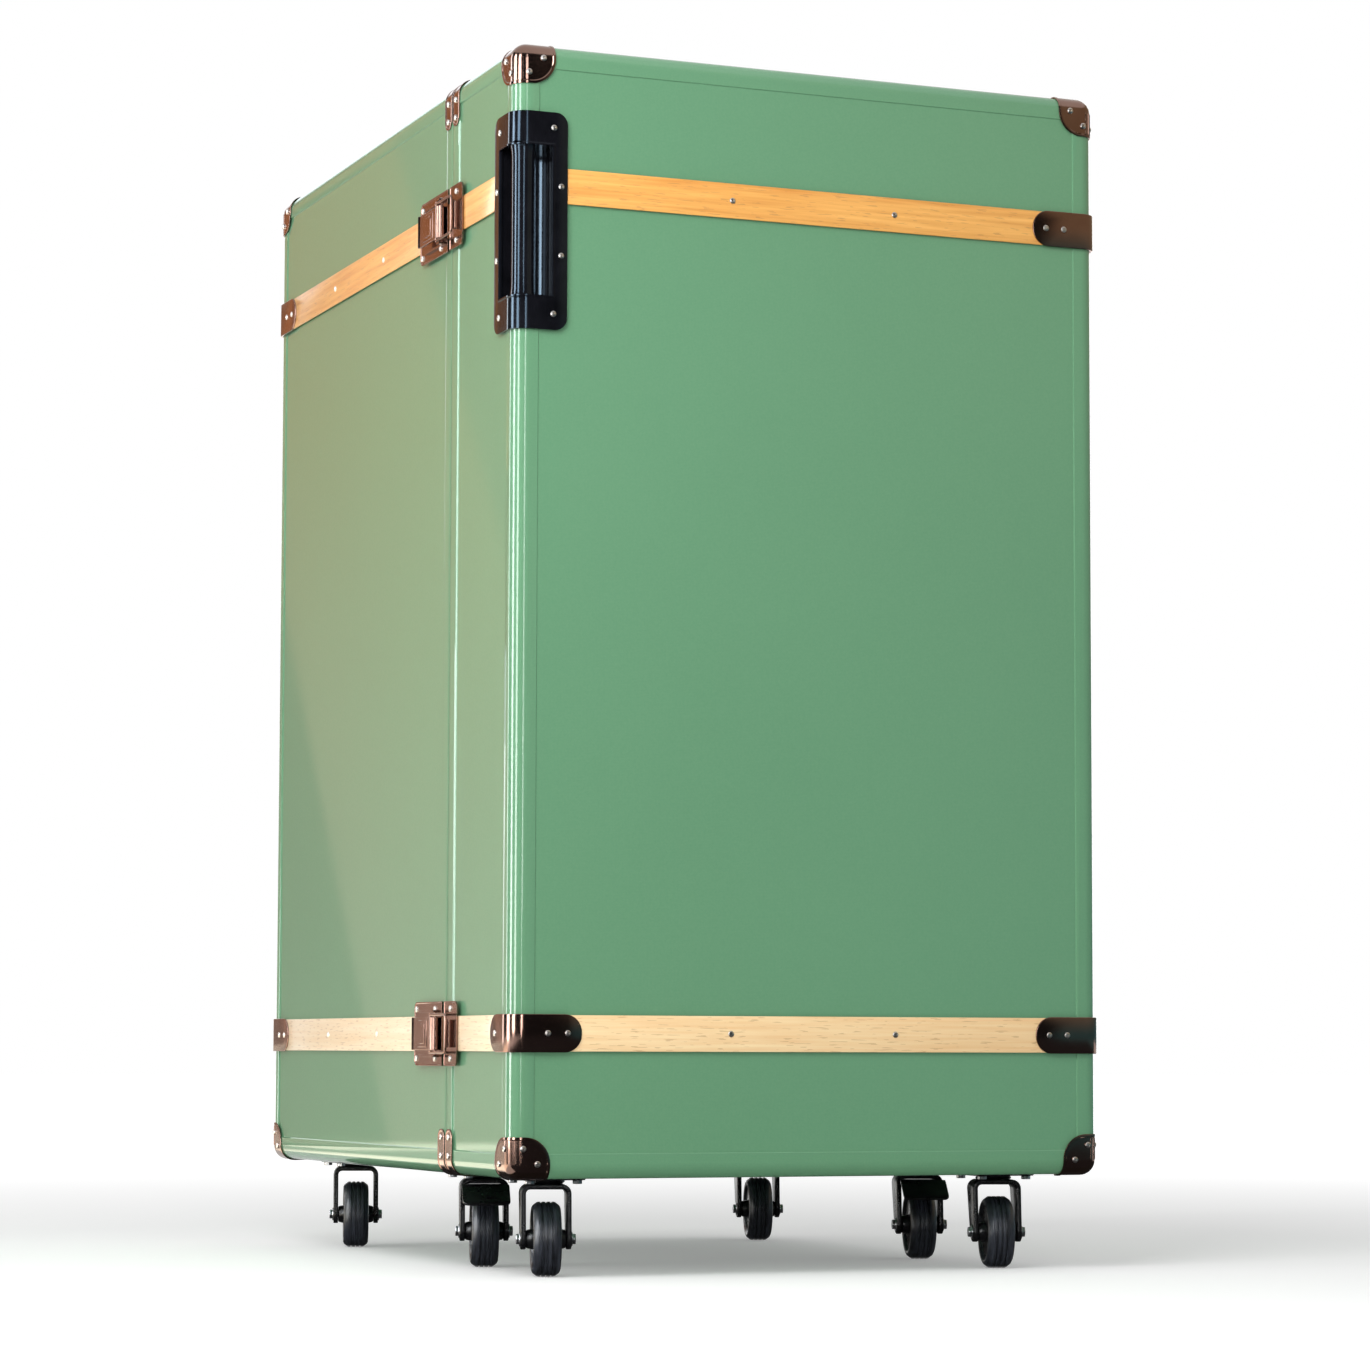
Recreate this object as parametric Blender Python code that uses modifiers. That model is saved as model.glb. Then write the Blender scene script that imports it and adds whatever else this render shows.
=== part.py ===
"""A tall wine trunk on casters: a deep case with bottle bays, and a hinged door with latches and a handle.

Metres, +Z up. The origin is on the floor, under the middle of the box. The door faces -Y, the latches
are on the -X side and the hinge is on the +X side.
"""
import math

import bmesh
import bpy
from mathutils import Matrix, Vector

# Box
BOX_WIDTH = 0.686
BOX_DEPTH = 0.890
BOX_HEIGHT = 1.200
DOOR_DEPTH = 0.209
SPLIT_GAP = 0.001
WALL = 0.012
EDGE_RADIUS = 0.016
EDGE_STEPS = 3
FIT_GAP = 0.0003
SMOOTH_ANGLE = math.radians(35)

# Slats, in an upper and a lower row
SLAT_WIDTH = 0.038
SLAT_THICKNESS = 0.002
SLAT_INSET = 0.152
SLAT_END_GAP = 0.0005
SLAT_SCREW_OFFSET = 0.096

# Metal fittings
CAP_LEG = 0.078
DOOR_CAP_SIDE_LEG = 0.055
CAP_HEIGHT = 0.040
CAP_THICKNESS = 0.0012
CAP_END_RADIUS = 0.019
CAP_SCREWS = (0.040, 0.062)
CORNER_LEG = 0.044
CORNER_THICKNESS = 0.0015
CORNER_ROUND = 0.030
CORNER_SCREWS = ((0.014, 0.032), (0.030, 0.016))
STRAP_WIDTH = 0.022
STRAP_THICKNESS = 0.0015
STRAP_LEG = 0.049
STRAP_END_RADIUS = 0.0105
STRAP_SPLIT_OFFSET = 0.0012
STRAP_SCREWS = (0.020, 0.040)
SCREW_RADIUS = 0.0032
SCREW_HEIGHT = 0.0012
SCREW_SINK = 0.0005
SCREW_SIDES = 6
END_STEPS = 4

# Draw latches, one on each row of slats
PLATE_THICKNESS = 0.002
PLATE_HEIGHT = 0.070
PLATE_LENGTH = 0.096
PLATE_SPLIT_OFFSET = 0.003
PLATE_CORNER = 0.008
PLATE_SCREW_INSET = 0.008
PLATE_FRONT_SCREW = 0.024
KEEPER_LENGTH = 0.043
CATCH_OFFSET = 0.024
CATCH_THICKNESS = 0.006
CATCH_WIDTH = 0.026
CATCH_GAP = 0.001
LEVER_WIDTH = 0.036
LEVER_LENGTH = 0.068
LEVER_THICKNESS = 0.003
LEVER_PIVOT_OFFSET = 0.012
LEVER_HEAD_RADIUS = 0.0035
LEVER_HEAD_LENGTH = 0.012
LEVER_CLEARANCE = 0.001
LEVER_PIN_RADIUS = 0.0015
LEVER_TIP_RISE = 0.003
LEVER_TIP_LENGTH = 0.009
LOOP_WIRE = 0.0015
LOOP_SIDE_GAP = 0.001
LOOP_REACH = 0.052
LOOP_CORNER = 0.005
LOOP_PIVOT_BACK = 0.006
LOOP_PIVOT_RISE = 0.0036
EAR_THICKNESS = 0.0025
EAR_HALF_LENGTH = 0.0045
EAR_MARGIN = 0.0027
PIN_CLEARANCE = 0.0004
PIN_SIDES = 8

# Long hinge on the right side
HINGE_LENGTH = 0.780
HINGE_KNUCKLES = 7
HINGE_LEAF = 0.028
HINGE_LEAF_THICKNESS = 0.0025
HINGE_LEAF_GAP = 0.0015
HINGE_STANDOFF = 0.0097
HINGE_KNUCKLE_RADIUS = 0.006
HINGE_WEB = 0.005
HINGE_PIN_RADIUS = 0.0026
HINGE_PIN_OVERHANG = 0.002
HINGE_KNUCKLE_GAP = 0.0005
HINGE_SCREW_INSET = 0.008
HINGE_SIDES = 12

# Corner handle on the door's left front edge
HANDLE_INSET = 0.074
HANDLE_HEIGHT = 0.233
HANDLE_LEG = 0.057
HANDLE_PROUD = 0.0038
HANDLE_FLANGE = 0.014
HANDLE_BAND = 0.0335
HANDLE_POCKET_WALL = 0.003
HANDLE_SINK = 0.002
HANDLE_CORNER = 0.013
HANDLE_BAND_SCREW = 0.0155
HANDLE_SCREW_SPREAD = 0.037
GRIP_RADIUS = 0.0125
GRIP_SINK = 0.001
GRIP_SIDES = 16

# Inside
RIM_LENGTH = 0.038
RIM_REACH = 0.008
RIM_THICKNESS = 0.004
RIM_CLEARANCE = 0.0005
BOARD = 0.010
BAY_COLUMNS = 3
BAY_ROWS = 4
BAY_SETBACK = 0.035
DOOR_ROWS = 4
DOOR_SHELF_DEPTH = 0.150
DOOR_POST = 0.014
RAIL_RADIUS = 0.004
RAIL_RISE = 0.070
RAIL_SETBACK = 0.008
RAIL_SIDES = 8

# Casters
CASTER_HEIGHT = 0.105
CASTER_HEADING = math.radians(16)
CASTER_TRAIL = 0.018
CASTER_INSET_X = 0.077
CASTER_DOOR_Y = 0.106
CASTER_MAIN_Y = 0.307
CASTER_REAR_Y = 0.787
CASTER_PLATE = 0.070
CASTER_PLATE_THICKNESS = 0.003
BOLT_INSET = 0.008
BOLT_RADIUS = 0.0055
BOLT_HEIGHT = 0.004
RACE_RADIUS = 0.020
RACE_HEIGHT = 0.004
RACE_SIDES = 16
FORK_GAP = 0.047
FORK_THICKNESS = 0.0035
FORK_CROWN_LENGTH = 0.044
FORK_EYE_RADIUS = 0.011
FORK_LEG_FRONT = 0.024
FORK_LEG_BACK = 0.014
WHEEL_RADIUS = 0.040
WHEEL_STEPS = 20
TREAD_HALF = 0.0085
TYRE_HALF = 0.014
TYRE_WALL = 0.006
WEB_HALF = 0.012
WEB_RADIUS = 0.014
HUB_RADIUS = 0.010
HUB_GAP = 0.0005
AXLE_RADIUS = 0.004
AXLE_HEAD_RADIUS = 0.007
AXLE_HEAD = 0.005
AXLE_STEPS = 10
PEDAL_PIVOT = 0.014
PEDAL_DROP = 0.004
PEDAL_FLAT = 0.031
PEDAL_REACH = 0.060
PEDAL_SLOPE = 0.021
PEDAL_THICKNESS = 0.003

# Places that follow from the sizes above; a place with no axis in its name is a distance out from a face
HALF_W = BOX_WIDTH / 2
HALF_D = BOX_DEPTH / 2
HALF_H = BOX_HEIGHT / 2
BOX_LOW = CASTER_HEIGHT
BOX_MID = CASTER_HEIGHT + HALF_H
BOX_HIGH = CASTER_HEIGHT + BOX_HEIGHT
DOOR_BACK = DOOR_DEPTH - HALF_D
MAIN_FRONT = DOOR_BACK + SPLIT_GAP
SPLIT = (DOOR_BACK + MAIN_FRONT) / 2
ROWS = {"upper": BOX_HIGH - SLAT_INSET, "lower": BOX_LOW + SLAT_INSET}
SLAT_MIDDLE = FIT_GAP + SLAT_THICKNESS / 2
SLAT_FACE = FIT_GAP + SLAT_THICKNESS
CAP_MIDDLE = SLAT_FACE + FIT_GAP + CAP_THICKNESS / 2
CAP_FACE = SLAT_FACE + FIT_GAP + CAP_THICKNESS
CORNER_FACE = FIT_GAP + CORNER_THICKNESS
STRAP_MIDDLE = FIT_GAP + STRAP_THICKNESS / 2
STRAP_FACE = FIT_GAP + STRAP_THICKNESS
PLATE_BACK = SLAT_FACE + FIT_GAP
PLATE_MIDDLE = PLATE_BACK + PLATE_THICKNESS / 2
PLATE_FACE = PLATE_BACK + PLATE_THICKNESS
LEVER_PIVOT_Y = MAIN_FRONT + LEVER_PIVOT_OFFSET
LEVER_PIVOT_OUT = PLATE_FACE + LEVER_CLEARANCE + LEVER_HEAD_RADIUS
LOOP_PIVOT_Y = LEVER_PIVOT_Y + LOOP_PIVOT_BACK
LOOP_PIVOT_OUT = LEVER_PIVOT_OUT + LOOP_PIVOT_RISE
LOOP_HALF = LEVER_WIDTH / 2 + LOOP_SIDE_GAP + LOOP_WIRE
EAR_INNER = LOOP_HALF + LOOP_WIRE + LOOP_SIDE_GAP
HINGE_X = HALF_W + HINGE_STANDOFF
HINGE_FACE = FIT_GAP + HINGE_LEAF_THICKNESS
HANDLE_Z = (BOX_HIGH - HANDLE_INSET - HANDLE_HEIGHT, BOX_HIGH - HANDLE_INSET)
MOUTH_Z = (HANDLE_Z[0] + HANDLE_BAND, HANDLE_Z[1] - HANDLE_BAND)
POCKET_Z = (MOUTH_Z[0] - HANDLE_POCKET_WALL, MOUTH_Z[1] + HANDLE_POCKET_WALL)
NOTCH_Z = (POCKET_Z[0] - FIT_GAP, POCKET_Z[1] + FIT_GAP)
HANDLE_CAVITY = HANDLE_LEG - HANDLE_FLANGE
HANDLE_POCKET = HANDLE_CAVITY + HANDLE_POCKET_WALL
INNER_ROUND = EDGE_RADIUS - WALL + 2 * RIM_CLEARANCE
INNER_X = HALF_W - WALL
INNER_LOW = BOX_LOW + WALL
INNER_HIGH = BOX_HIGH - WALL
INNER_FRONT = WALL - HALF_D
INNER_BACK = HALF_D - WALL
AXLE_HEIGHT = WHEEL_RADIUS * math.cos(math.pi / WHEEL_STEPS)
PLATE_LOW_Z = BOX_LOW - FIT_GAP - CASTER_PLATE_THICKNESS
CROWN_HIGH = PLATE_LOW_Z - RACE_HEIGHT - FIT_GAP
CROWN_LOW = CROWN_HIGH - FORK_THICKNESS
FORK_OUTER = FORK_GAP / 2 + FORK_THICKNESS
PEDAL_Z = CROWN_LOW - PEDAL_DROP
PIVOT_X = HALF_W - CASTER_INSET_X
CASTERS = {
    "door_left": (-PIVOT_X, CASTER_DOOR_Y - HALF_D),
    "door_right": (PIVOT_X, CASTER_DOOR_Y - HALF_D),
    "main_left": (-PIVOT_X, CASTER_MAIN_Y - HALF_D),
    "main_right": (PIVOT_X, CASTER_MAIN_Y - HALF_D),
    "rear_left": (-PIVOT_X, CASTER_REAR_Y - HALF_D),
    "rear_right": (PIVOT_X, CASTER_REAR_Y - HALF_D),
}
BRAKED_CASTERS = ("main_left", "main_right")
SIDES = {"left": -1, "right": 1}
ENDS = {"bottom": -1, "top": 1}
# Each half of the trunk: where it lies in Y, and its outer face
HALVES = {"door": (-1, "front"), "main": (1, "back")}
# Turns a flat outline upright, with its thickness across X
UPRIGHT = Matrix(((0, 0, 1, 0), (1, 0, 0, 0), (0, 1, 0, 0), (0, 0, 0, 1)))

# Base colour, roughness and metallic value of each finish
FINISHES = {
    "covering": ((0.165, 0.330, 0.190), 0.30, 0.0),
    "oak": ((0.780, 0.480, 0.210), 0.50, 0.0),
    "bronze": ((0.160, 0.090, 0.070), 0.28, 1.0),
    "handle_black": ((0.012, 0.012, 0.014), 0.45, 0.0),
    "black_steel": ((0.020, 0.020, 0.022), 0.40, 0.6),
    "rubber": ((0.018, 0.018, 0.020), 0.75, 0.0),
    "walnut": ((0.190, 0.090, 0.045), 0.45, 0.0),
}


def clear_scene():
    """Removes whatever the scene holds."""
    for thing in list(bpy.data.objects):
        bpy.data.objects.remove(thing, do_unlink=True)


def new_collection(name):
    """Makes a collection in the scene."""
    collection = bpy.data.collections.new(name)
    bpy.context.scene.collection.children.link(collection)
    return collection


def new_anchor(name, place):
    """Makes an empty on a joint's axis."""
    anchor = bpy.data.objects.new(name, None)
    PARTS.objects.link(anchor)
    anchor.location = place
    return anchor


def new_material(name, finish):
    """Makes a Principled material of one of the finishes."""
    colour, roughness, metallic = FINISHES[finish]
    material = bpy.data.materials.new(name)
    material.use_nodes = True
    shader = material.node_tree.nodes["Principled BSDF"]
    shader.inputs["Base Color"].default_value = (*colour, 1.0)
    shader.inputs["Roughness"].default_value = roughness
    shader.inputs["Metallic"].default_value = metallic
    return material


def to_mesh(name, shape):
    """Turns a bmesh into a mesh, smooth but for its sharp edges."""
    mesh = bpy.data.meshes.new(name)
    shape.to_mesh(mesh)
    shape.free()
    mesh.shade_smooth()
    mesh.set_sharp_from_angle(angle=SMOOTH_ANGLE)
    return mesh


def new_part(name, data, finish, owner, matrix=None):
    """Makes a named part from a mesh or a curve; the door's parts hang on its hinge."""
    material = new_material(f"{name}_finish", finish)
    if not data.materials:
        data.materials.append(material)
    part = bpy.data.objects.new(name, data)
    PARTS.objects.link(part)
    part.material_slots[0].link = "OBJECT"
    part.material_slots[0].material = material
    if matrix is not None:
        part.matrix_basis = matrix
    if owner == "door":
        part.parent = DOOR_HINGE
        part.matrix_parent_inverse = Matrix.Translation(DOOR_HINGE.location).inverted()
    return part


def new_cutter(name, mesh):
    """Makes a helper solid for Boolean modifiers."""
    cutter = bpy.data.objects.new(name, mesh)
    CUTTERS.objects.link(cutter)
    cutter.hide_render = True
    cutter.display_type = "WIRE"
    return cutter


def add_boolean(part, cutter, operation):
    """Joins a helper solid to a part, or cuts it out."""
    modifier = part.modifiers.new(cutter.name, "BOOLEAN")
    modifier.operation = operation
    modifier.solver = "EXACT"
    modifier.object = cutter


def join(part, name, shape):
    """Joins a shape to a part."""
    add_boolean(part, new_cutter(name, to_mesh(name, shape)), "UNION")


def cut(part, name, shape):
    """Cuts a shape out of a part."""
    add_boolean(part, new_cutter(name, to_mesh(name, shape)), "DIFFERENCE")


def baked_mesh(thing, name):
    """Returns an object's evaluated mesh, with its loose caps welded."""
    graph = bpy.context.evaluated_depsgraph_get()
    mesh = bpy.data.meshes.new_from_object(thing.evaluated_get(graph))
    shape = bmesh.new()
    shape.from_mesh(mesh)
    bpy.data.meshes.remove(mesh)
    bmesh.ops.remove_doubles(shape, verts=shape.verts, dist=0.00001)
    return to_mesh(name, shape)


def add_box(shape, low, high):
    """Adds a box between two opposite corners."""
    low, high = Vector(low), Vector(high)
    size = Vector(abs(b - a) for a, b in zip(low, high))
    matrix = Matrix.Translation((low + high) / 2) @ Matrix.Diagonal((*size, 1.0))
    bmesh.ops.create_cube(shape, size=1.0, matrix=matrix)


def add_cylinder(shape, start, end, radius, sides):
    """Adds a closed cylinder between two points."""
    start, end = Vector(start), Vector(end)
    turn = (end - start).to_track_quat("Z", "Y").to_matrix().to_4x4()
    matrix = Matrix.Translation((start + end) / 2) @ turn
    bmesh.ops.create_cone(
        shape, cap_ends=True, segments=sides, radius1=radius, radius2=radius,
        depth=(end - start).length, matrix=matrix,
    )


def round_edges(shape, edges, radius, steps):
    """Rounds edges with an arc."""
    bmesh.ops.bevel(
        shape, geom=list(edges), offset=radius, segments=steps, profile=0.5, affect="EDGES", material=-1,
    )


def nearest_vertex(shape, point):
    """Returns the vertex of a shape that lies nearest to a point."""
    return min(shape.verts, key=lambda vert: (vert.co - Vector(point)).length)


def on_face(side, along, z, out):
    """Returns a point some way out from a face of the box; along is X on front and back, Y on the sides."""
    if side == "front":
        return Vector((along, -HALF_D - out, z))
    if side == "back":
        return Vector((along, HALF_D + out, z))
    if side == "left":
        return Vector((-HALF_W - out, along, z))
    return Vector((HALF_W + out, along, z))


def add_face_box(shape, side, along, z, out):
    """Adds a box on a face of the box, from pairs of limits."""
    add_box(shape, on_face(side, along[0], z[0], out[0]), on_face(side, along[1], z[1], out[1]))


def add_screw(shape, side, along, z, face):
    """Adds a screw head, sunk a little into the surface that it holds."""
    start = on_face(side, along, z, face - SCREW_SINK)
    end = on_face(side, along, z, face + SCREW_HEIGHT)
    add_cylinder(shape, start, end, SCREW_RADIUS, SCREW_SIDES)


def arc(centre, radius, start, end, steps):
    """Returns points along an arc, with its angles in degrees."""
    angles = [math.radians(start + (end - start) * i / steps) for i in range(steps + 1)]
    return [(centre[0] + radius * math.cos(a), centre[1] + radius * math.sin(a)) for a in angles]


def rounded_path(corners, radius):
    """Returns a path through square corners, with each bend rounded."""
    points = [Vector(corner) for corner in corners]
    path = [points[0]]
    for before, corner, after in zip(points, points[1:], points[2:]):
        back = (before - corner).normalized() * radius
        ahead = (after - corner).normalized() * radius
        for i in range(EDGE_STEPS + 1):
            angle = math.pi / 2 * i / EDGE_STEPS
            path.append(corner + back + ahead - ahead * math.cos(angle) - back * math.sin(angle))
    path.append(points[-1])
    return path


def strip_mesh(name, path, across, end_radius=0.0):
    """Returns an open strip along a path, as wide as the vector across, with square or rounded ends."""
    across = Vector(across)
    shape = bmesh.new()
    verts = [shape.verts.new(point - across / 2) for point in path]
    edges = [shape.edges.new(pair) for pair in zip(verts, verts[1:])]
    made = bmesh.ops.extrude_edge_only(shape, edges=edges)["geom"]
    moved = [item for item in made if isinstance(item, bmesh.types.BMVert)]
    bmesh.ops.translate(shape, verts=moved, vec=across)
    if end_radius:
        places = [end + side * across / 2 for end in (path[0], path[-1]) for side in (-1, 1)]
        corners = [nearest_vertex(shape, place) for place in places]
        bmesh.ops.bevel(
            shape, geom=corners, offset=end_radius, segments=END_STEPS, profile=0.5, affect="VERTICES",
            material=-1,
        )
    return to_mesh(name, shape)


def thicken(part, thickness, offset):
    """Gives an open sheet its thickness: offset -1 puts it inside, and 0 puts half on each side."""
    modifier = part.modifiers.new("thickness", "SOLIDIFY")
    modifier.thickness = thickness
    modifier.offset = offset
    modifier.use_even_offset = True


def outline_mesh(name, points, thickness):
    """Returns a plate with a flat outline in XY, with its thickness centred on Z = 0."""
    curve = bpy.data.curves.new(name, "CURVE")
    curve.dimensions = "2D"
    curve.fill_mode = "BOTH"
    curve.extrude = thickness / 2
    spline = curve.splines.new("POLY")
    spline.points.add(len(points) - 1)
    for point, (x, y) in zip(spline.points, points):
        point.co = (x, y, 0, 1)
    spline.use_cyclic_u = True
    holder = bpy.data.objects.new(name, curve)
    CUTTERS.objects.link(holder)
    mesh = baked_mesh(holder, name)
    bpy.data.objects.remove(holder, do_unlink=True)
    return mesh


def profile_mesh(name, points, closed):
    """Returns a profile in XZ as a mesh of edges, from (radius, height) pairs."""
    shape = bmesh.new()
    verts = [shape.verts.new((radius, 0, height)) for radius, height in points]
    for pair in zip(verts, verts[1:]):
        shape.edges.new(pair)
    if closed:
        shape.edges.new((verts[-1], verts[0]))
    return to_mesh(name, shape)


def add_turning(thing, steps):
    """Turns a profile about its own Z axis."""
    modifier = thing.modifiers.new("turning", "SCREW")
    modifier.steps = steps
    modifier.render_steps = steps
    modifier.use_merge_vertices = True
    modifier.merge_threshold = 0.00001
    modifier.use_smooth_shade = True


def make_shell(name, owner, front, back, mouth):
    """Makes a case with rounded outer edges, open at the mouth."""
    shape = bmesh.new()
    add_box(shape, (-HALF_W, front, BOX_LOW), (HALF_W, back, BOX_HIGH))
    opening = min(shape.faces, key=lambda face: abs(face.calc_center_median().y - mouth))
    bmesh.ops.delete(shape, geom=[opening], context="FACES_ONLY")
    round_edges(shape, [edge for edge in shape.edges if not edge.is_boundary], EDGE_RADIUS, EDGE_STEPS)
    part = new_part(name, to_mesh(name, shape), "covering", owner)
    thicken(part, WALL, -1)
    return part


def make_box_cutter():
    """Makes the whole box as a solid, one fit gap larger all round."""
    shape = bmesh.new()
    reach = Vector((HALF_W + FIT_GAP, HALF_D + FIT_GAP, HALF_H + FIT_GAP))
    middle = Vector((0, 0, BOX_MID))
    add_box(shape, middle - reach, middle + reach)
    round_edges(shape, shape.edges, EDGE_RADIUS + FIT_GAP, EDGE_STEPS)
    return new_cutter("box_cutter", to_mesh("box_cutter", shape))


def make_slat(name, owner, corners, screws):
    """Makes a slat that runs along the faces of the box, bent round the edges on its way."""
    height = corners[0][2]
    path = rounded_path(corners, EDGE_RADIUS + SLAT_MIDDLE)
    part = new_part(name, strip_mesh(name, path, (0, 0, SLAT_WIDTH)), "oak", owner)
    thicken(part, SLAT_THICKNESS, 0)
    heads = bmesh.new()
    for side, middle in screws:
        for along in (middle - SLAT_SCREW_OFFSET, middle + SLAT_SCREW_OFFSET):
            add_screw(heads, side, along, height, SLAT_FACE)
    if screws:
        join(part, f"{name}_screws", heads)
    else:
        heads.free()


def make_slats():
    """Makes the slats; the upper row of the door stops at the handle."""
    x = HALF_W + SLAT_MIDDLE
    y = HALF_D + SLAT_MIDDLE
    door_end = DOOR_BACK - SLAT_END_GAP
    main_end = MAIN_FRONT + SLAT_END_GAP
    main_middle = (MAIN_FRONT + HALF_D) / 2
    for row, z in ROWS.items():
        corners = [(-x, main_end, z), (-x, y, z), (x, y, z), (x, main_end, z)]
        screws = [("left", main_middle), ("back", 0), ("right", main_middle)]
        make_slat(f"main_slat_{row}", "main", corners, screws)
    z = ROWS["lower"]
    corners = [(-x, door_end, z), (-x, -y, z), (x, -y, z), (x, door_end, z)]
    make_slat("door_slat_lower", "door", corners, [("front", 0)])
    z = ROWS["upper"]
    stop = HANDLE_LEG + SLAT_END_GAP
    corners = [(stop - HALF_W, -y, z), (x, -y, z), (x, door_end, z)]
    make_slat("door_slat_upper", "door", corners, [("front", 0)])
    make_slat("door_slat_upper_left", "door", [(-x, stop - HALF_D, z), (-x, door_end, z)], [])


def make_slat_caps():
    """Makes the caps round the upright edges, over the slats; the handle takes the place of one cap."""
    for owner, (sign_y, face) in HALVES.items():
        for side, sign_x in SIDES.items():
            for row, z in ROWS.items():
                if (owner, side, row) == ("door", "left", "upper"):
                    continue
                x = sign_x * (HALF_W + CAP_MIDDLE)
                y = sign_y * (HALF_D + CAP_MIDDLE)
                side_leg = DOOR_CAP_SIDE_LEG if owner == "door" else CAP_LEG
                ends = (sign_x * (HALF_W - CAP_LEG), y, z), (x, sign_y * (HALF_D - side_leg), z)
                path = rounded_path([ends[0], (x, y, z), ends[1]], EDGE_RADIUS + CAP_MIDDLE)
                name = f"{owner}_slat_cap_{side}_{row}"
                strip = strip_mesh(name, path, (0, 0, CAP_HEIGHT), CAP_END_RADIUS)
                part = new_part(name, strip, "bronze", owner)
                thicken(part, CAP_THICKNESS, 0)
                heads = bmesh.new()
                for reach in CAP_SCREWS:
                    add_screw(heads, face, sign_x * (HALF_W - reach), z, CAP_FACE)
                    if reach < side_leg:
                        add_screw(heads, side, sign_y * (HALF_D - reach), z, CAP_FACE)
                join(part, f"{name}_screws", heads)


def make_split_straps():
    """Makes the straps next to the split, over the top and under the bottom, with a leg on each side."""
    places = {
        "door": DOOR_BACK - STRAP_SPLIT_OFFSET - STRAP_WIDTH / 2,
        "main": MAIN_FRONT + STRAP_SPLIT_OFFSET + STRAP_WIDTH / 2,
    }
    x = HALF_W + STRAP_MIDDLE
    for owner, y in places.items():
        for end, sign_z in ENDS.items():
            z = BOX_MID + sign_z * (HALF_H + STRAP_MIDDLE)
            leg_z = BOX_MID + sign_z * (HALF_H - STRAP_LEG)
            corners = [(-x, y, leg_z), (-x, y, z), (x, y, z), (x, y, leg_z)]
            path = rounded_path(corners, EDGE_RADIUS + STRAP_MIDDLE)
            name = f"{owner}_split_strap_{end}"
            strip = strip_mesh(name, path, (0, STRAP_WIDTH, 0), STRAP_END_RADIUS)
            part = new_part(name, strip, "bronze", owner)
            thicken(part, STRAP_THICKNESS, 0)
            heads = bmesh.new()
            for side in SIDES:
                for reach in STRAP_SCREWS:
                    add_screw(heads, side, y, BOX_MID + sign_z * (HALF_H - reach), STRAP_FACE)
            join(part, f"{name}_screws", heads)


def corner_block(signs):
    """Returns a block round one corner of the box, rounded as the box is and at the far ends of its faces."""
    half = Vector((HALF_W, HALF_D, HALF_H))
    middle = Vector((0, 0, BOX_MID))
    outer = middle + Vector(s * (h + CORNER_FACE) for s, h in zip(signs, half))
    inner = middle + Vector(s * (h - CORNER_LEG) for s, h in zip(signs, half))
    shape = bmesh.new()
    add_box(shape, inner, outer)
    round_edges(shape, nearest_vertex(shape, inner).link_edges, CORNER_ROUND, EDGE_STEPS)
    round_edges(shape, nearest_vertex(shape, outer).link_edges, EDGE_RADIUS + CORNER_FACE, EDGE_STEPS)
    return shape


def make_corners(box_cutter):
    """Makes the corner protectors, as blocks with the box cut out of them."""
    for owner, (sign_y, face) in HALVES.items():
        for side, sign_x in SIDES.items():
            for end, sign_z in ENDS.items():
                name = f"{owner}_corner_{side}_{end}"
                block = corner_block((sign_x, sign_y, sign_z))
                part = new_part(name, to_mesh(name, block), "bronze", owner)
                add_boolean(part, box_cutter, "DIFFERENCE")
                heads = bmesh.new()
                for across, rise in CORNER_SCREWS:
                    z = BOX_MID + sign_z * (HALF_H - rise)
                    add_screw(heads, face, sign_x * (HALF_W - across), z, CORNER_FACE)
                    add_screw(heads, side, sign_y * (HALF_D - across), z, CORNER_FACE)
                join(part, f"{name}_screws", heads)


def round_far_corners(shape, far):
    """Rounds the two corners of a plate on the left side that lie at its far end."""
    ends = [(edge, [vert.co for vert in edge.verts]) for edge in shape.edges]
    through = [(edge, places) for edge, places in ends if abs(places[0].x - places[1].x) > FIT_GAP]
    edges = [edge for edge, places in through if abs(places[0].y - far) < FIT_GAP]
    round_edges(shape, edges, PLATE_CORNER, EDGE_STEPS)


def make_latch_plate(row, height):
    """Makes the base plate of a latch on the case, with ears that hold the lever's pins."""
    name = f"latch_plate_{row}"
    start = MAIN_FRONT + PLATE_SPLIT_OFFSET
    end = start + PLATE_LENGTH
    plate = bmesh.new()
    z = (height - PLATE_HEIGHT / 2, height + PLATE_HEIGHT / 2)
    add_face_box(plate, "left", (start, end), z, (PLATE_BACK, PLATE_FACE))
    round_far_corners(plate, end)
    part = new_part(name, to_mesh(name, plate), "bronze", "main")
    ear_y = (LEVER_PIVOT_Y - EAR_HALF_LENGTH, LEVER_PIVOT_Y + EAR_HALF_LENGTH)
    ear_out = (PLATE_MIDDLE, LEVER_PIVOT_OUT + LEVER_PIN_RADIUS + EAR_MARGIN)
    added = bmesh.new()
    for sign in (-1, 1):
        ear_z = (height + sign * EAR_INNER, height + sign * (EAR_INNER + EAR_THICKNESS))
        screw_z = height + sign * (PLATE_HEIGHT / 2 - PLATE_SCREW_INSET)
        add_face_box(added, "left", ear_y, ear_z, ear_out)
        for along in (start + PLATE_FRONT_SCREW, end - PLATE_SCREW_INSET):
            add_screw(added, "left", along, screw_z, PLATE_FACE)
    join(part, f"{name}_ears", added)
    reach = Vector((0, 0, EAR_INNER + 2 * EAR_THICKNESS))
    pivot = on_face("left", LEVER_PIVOT_Y, height, LEVER_PIVOT_OUT)
    bore = bmesh.new()
    add_cylinder(bore, pivot - reach, pivot + reach, LEVER_PIN_RADIUS + PIN_CLEARANCE, PIN_SIDES)
    cut(part, f"{name}_bore", bore)


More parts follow.
